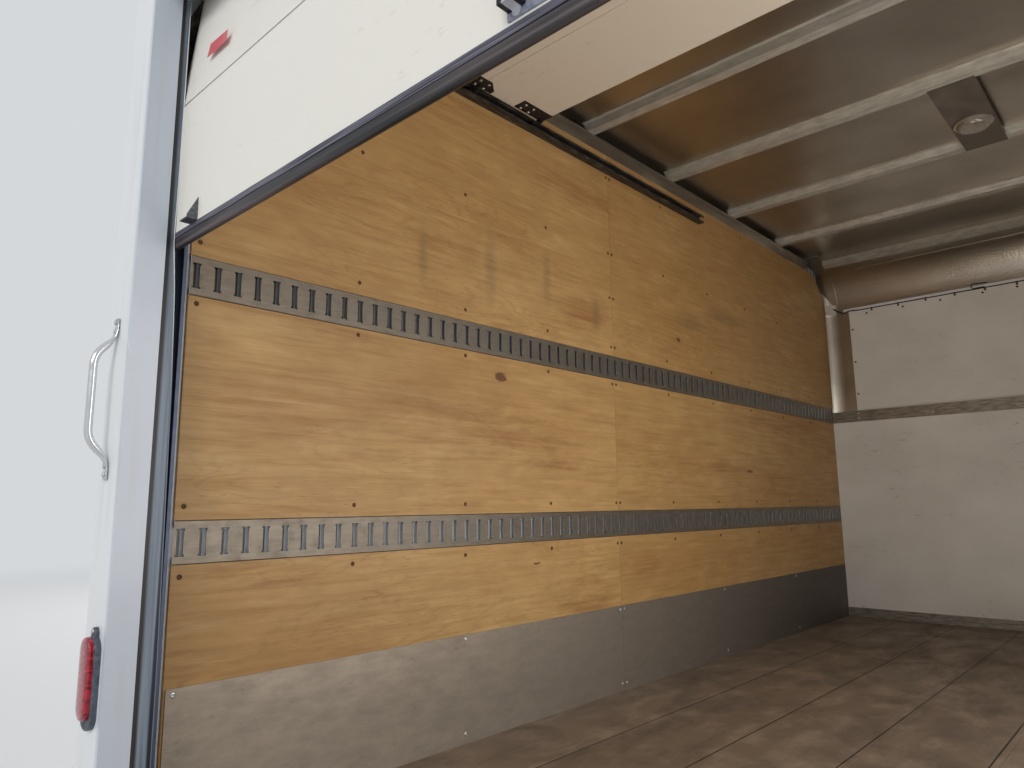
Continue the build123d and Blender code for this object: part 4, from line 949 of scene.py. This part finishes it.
def reflective_tape():
    """Red film over honeycomb cells 3 mm across, a little faded."""
    made, tree = new_material("red reflective tape", {"Roughness": 0.3, "Coat Weight": 0.5})
    cells = pattern(tree, "Voronoi", (3, 3, 3), feature="DISTANCE_TO_EDGE")
    fade = pattern(tree, "Noise", (30, 30, 30), {"Detail": 4.0})
    edges = add(tree, "MapRange", (cells, 0.0, 0.1, 0.5, 0.0))
    red = add(tree, "Mix", {0: edges, 6: "#C8242F", 7: "#E0525A"}, out=2, data_type="RGBA")
    return joined(made, laid(tree, red, "#D8747A", fade, 0.4, 0.8, 0.3))


tape = flat_plate([(-996, FLOOR + 1662), (-905, FLOOR + 1661), (-901, FLOOR + 1685), (-982, FLOOR + 1689)],
                  REAR + 79, 0.4)
both_sides("door_tape", tape, reflective_tape(), smooth=False)


# Door hardware: hinges and rollers in black coated steel, bolted through the sections; corner brackets in
# dark zinc, an anodised bottom channel and a zinc latch.

# Black coat worn to grey in spots 6 mm across
dress(("door_rollers",), clouded("black coated hinge steel", {"Metallic": 0.5}, (6, 6, 6), 5.0, (0.55, 0.7),
                                 ("#1C1A1A", "#5C5854"), (0.35, 0.6)))
# Zinc gone dark grey, with white bloom in specks 5 mm across
dress(("door_corner_brackets",), clouded("dark passivated zinc", {"Metallic": 0.7}, (5, 5, 5), 4.0,
                                         (0.5, 0.75), ("#5E6166", "#8E9195"), (0.35, 0.55)))


def door_rail_aluminium():
    """Lavender-grey anodised channel with dark lines along X."""
    made, tree = new_material("anodised door bottom rail", {"Metallic": 0.4, "Roughness": 0.45})
    lines = pattern(tree, "Noise", (200, 3, 1.6), {"Detail": 3.0})
    return joined(made, laid(tree, "#777582", "#30303C", lines, 0.42, 0.6))


def latch_steel():
    """Blue-grey zinc plate with a near black housing and one white nylon knob, told apart by place."""
    made, tree = new_material("zinc latch with black housing", {"Metallic": 0.3})
    x, z = (axis(tree, i) for i in (0, 2))
    haze = pattern(tree, "Noise", (9, 9, 9), {"Detail": 4.0})
    plate = laid(tree, "#9CA0B0", "#747888", haze, 0.35, 0.7)
    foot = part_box("door_latch")[0][2]
    # In metres: the housing's two sides and its top, then the knob's middle and its radius squared
    box = overlap(tree, (x, -0.0885, -0.087), (x, -0.054, -0.056), (z, foot + 0.010, foot + 0.012))
    away = [add(tree, "Math", row, operation="SUBTRACT") for row in ((x, -0.071), (z, foot + 0.010))]
    away = [add(tree, "Math", (value, 2.0), operation="POWER") for value in away]
    away = add(tree, "Math", away, operation="ADD")
    knob = add(tree, "MapRange", (away, 0.00007, 0.00005))
    colour = add(tree, "Mix", {0: box, 6: plate, 7: "#1E212A"}, out=2, data_type="RGBA")
    colour = add(tree, "Mix", {0: knob, 6: colour, 7: "#D5D8DC"}, out=2, data_type="RGBA")
    return joined(made, colour, add(tree, "MapRange", (haze, 0.3, 0.7, 0.3, 0.5)))


dress(("door_bottom_rail",), door_rail_aluminium())
dress(("door_latch",), latch_steel())
# Bolt heads on the inner face, in mm: three rows at each joint's hinges and two at the top brackets
BOLT = turned((5.5, 5.5, 4.6, 2.4, 0.0), (-0.4, 1.6, 2.6, 3.0, 3.1), 12)
UPRIGHT_FACE_Y, LYING_FACE_Z = REAR + 97.6, 2269.6
standing = [(x, UPRIGHT_FACE_Y, 1796.0 + dz) for dz in (-40, -18, 22) for x in (-1108, -1080)]
lying = [(x, REAR + y + dy, LYING_FACE_Z) for y in (710, 1025) for dy in (-42, -18, 20)
         for x in (-1108, -1080)]
lying += [(x, REAR + y, LYING_FACE_Z) for y in (1222, 1262) for x in (-1100, -1074)]
bolts = together(repeated(BOLT, np.array(standing) * MM, facing((0, 1, 0))),
                 repeated(BOLT, np.array(lying) * MM, facing((0, 0, -1))))
both_sides("hinge_bolts", bolts, zinc)


# Grab handles: bright steel tube bent to a low bridge, its ends flattened and screwed to the rear posts.
# The counterbalance above the door has the same zinc finish as their screws.
def polished_steel():
    """Bright tube with fine polishing lines along it and dull finger marks."""
    made, tree = new_material("polished steel tube", {"Metallic": 1.0, "Base Color": linear("#D6D7D9")})
    lines = pattern(tree, "Noise", (1.2, 1.2, 60))
    marks = pattern(tree, "Noise", (22, 22, 40), {"Detail": 4.0})
    return joined(made, rough=add(tree, "MapRange", (marks, 0.4, 0.7, 0.12, 0.3)),
                  normal=add(tree, "Bump", {"Distance": 0.02 * MM, "Height": lines}))


HANDLE_X = -1172
bridge = [(HANDLE_X, REAR - off, FLOOR + z)
          for off, z in ((3, 744), (3, 784), (42.5, 828), (42.5, 1003), (3, 1047), (3, 1087))]
path = eased(bridge, 22.0, 9)
flat = np.clip((REAR - path[:, 1] - 4.0) / 16.0, 0.0, 1.0)
handle = swept(path, (1, 0, 0), 11.0 - 3.0 * flat, 2.6 + 5.4 * flat, 20)
handles = both_sides("grab_handle_tube", handle, polished_steel())
for made, node in zip(handles, pair("grab_handle")):
    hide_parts(node)
places = np.array([(HANDLE_X, REAR - 5.4, FLOOR + z) for z in (754, 772, 1059, 1079.5)]) * MM
both_sides("handle_screws", repeated(BOLT, places, TO_THE_REAR), zinc)
dress(("counterbalance",), zinc)


# Lamps: moulded acrylic lenses, red at the rear, amber at the front and frosted white inside. The tail
# lamps are long ovals on a moulded base; the marker lamps are small ovals on a base plate.
def lens(name, bright, deep, rib_mm=4.0):
    """Moulded prisms in two directions show as lighter and deeper facets of the same colour."""
    made, tree = new_material(name, {"Roughness": 0.1, "IOR": 1.49, "Coat Weight": 0.7,
                                     "Subsurface Weight": 0.15, "Subsurface Scale": 0.004})
    cells = pattern(tree, "Voronoi", (rib_mm, 60, rib_mm))
    shades = pattern(tree, "Voronoi", (rib_mm, 60, rib_mm), out="Color")
    tone = add(tree, "SeparateXYZ", (shades,), out=0)
    return joined(made, add(tree, "Mix", {0: tone, 6: deep, 7: bright}, out=2, data_type="RGBA"),
                  normal=add(tree, "Bump", {"Distance": 0.6 * MM, "Height": cells}))


UPRIGHT = np.array(((1.0, 0.0, 0.0), (0.0, 0.0, -1.0), (0.0, 1.0, 0.0)))
ACROSS = np.array(((0.0, -1.0, 0.0), (0.0, 0.0, -1.0), (1.0, 0.0, 0.0)))
red = lens("red acrylic lens", "#B81E3A", "#6A0718")
amber = lens("amber acrylic lens", "#EE9630", "#A8590C")
# Weathered grey-blue plastic of the lamp bases
moulding = clouded("grey moulded lamp base", {"IOR": 1.5}, (9, 9, 9), 4.0, (0.35, 0.7),
                   ("#3E454F", "#5B6470"), (0.35, 0.55))

TAIL_X = -1.152
oval = turned((31.0, 31.0, 29.6, 27.2, 26.4, 25.8, 0.0), (0.0, 8.6, 11.0, 11.8, 11.8, 9.0, 9.0), 40, 58.0)
ear = turned((13.0, 13.0, 12.2, 10.8, 0.0), (0.0, 6.4, 7.6, 8.0, 8.0), 24, 20.0)
housing = together(repeated(oval, [(TAIL_X, REAR_Y, FLOOR_Z + 0.348)], UPRIGHT),
                   repeated(ear, [(TAIL_X, REAR_Y, FLOOR_Z + 0.420)], UPRIGHT))
housings = both_sides("tail_lamp_housing", housing, moulding)
for made, node in zip(housings, pair("tail_lamp_base")):
    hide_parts(node)
glass = turned((26.0, 26.0, 25.4, 24.0, 21.4, 15.0, 8.0, 0.0),
               (8.6, 17.6, 19.8, 21.4, 22.4, 23.4, 23.9, 24.0), 40, 52.5)
glass = repeated(glass, [(TAIL_X, REAR_Y, FLOOR_Z + 0.357)], UPRIGHT)
for made, node in zip(both_sides("tail_lamp_glass", glass, red), pair("tail_lamp_lens")):
    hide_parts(node)
screws = repeated(BOLT, [(TAIL_X, REAR_Y - 0.008, FLOOR_Z + 0.445)], UPRIGHT)
both_sides("tail_lamp_screws", screws, zinc)

plate = turned((15.0, 15.0, 14.0, 0.0), (0.0, 3.0, 4.0, 4.0), 24, 35.0)
cover = turned((12.4, 12.4, 11.6, 10.0, 7.6, 4.0, 0.0), (3.6, 9.0, 12.4, 15.0, 16.8, 17.8, 18.0), 24, 33.0)
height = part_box("rear_marker_lamps")[0][2] + 0.015
places = [(x, REAR_Y, height) for x in (-1.030, -0.160, 0.0, 0.160, 1.030)]
covers = piece("rear_marker_covers", repeated(cover, places, ACROSS), red)
piece("rear_marker_plates", repeated(plate, places, ACROSS), moulding)
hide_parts("rear_marker_lamps")

# The front ones lean back with the front radius
low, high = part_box("front_marker_lamps")
lean = math.radians(24.0)
out = np.array((0.0, math.cos(lean), math.sin(lean)))
turn = np.stack((np.cross((1.0, 0.0, 0.0), out), (1.0, 0.0, 0.0), out), axis=1)
middle = (np.array(low) + np.array(high)) / 2 - 0.009 * out
places = [(x, middle[1], middle[2]) for x in (-1.030, -0.265, 0.0, 0.265, 1.030)]
covers = piece("front_marker_covers", repeated(cover, places, turn), amber)
piece("front_marker_plates", repeated(plate, places, turn), moulding)
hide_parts("front_marker_lamps")

# Lamp plate of the roof: dark bronze coat, dusty, with a frosted dome under it
dress(("dome_lamp_plate",), clouded("dark bronze coated sheet", {"IOR": 1.5}, (60, 90, 30), 5.0, (0.35, 0.7),
                                    ("#463E36", "#5A5148"), (0.38, 0.6)))
low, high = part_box("dome_lamp_lens")
dome = turned((70.0, 70.0, 69.0, 66.0, 62.5, 60.5, 60.0, 57.5, 52.0, 46.0, 30.0, 0.0),
              (0.0, 6.0, 7.5, 8.0, 8.0, 7.0, 9.0, 17.0, 23.5, 26.0, 26.8, 27.0), 48)
down = np.diag((1.0, -1.0, -1.0))
dome = repeated(dome, [((low[0] + high[0]) / 2, (low[1] + high[1]) / 2, high[2])], down)
# The frosted white dome is painted grey-brown: painted shade under the roof
made = piece("dome_lamp_cover", dome, lens("frosted acrylic lens", "#7F776C", "#6C645A", 9.0))
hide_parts("dome_lamp_lens")
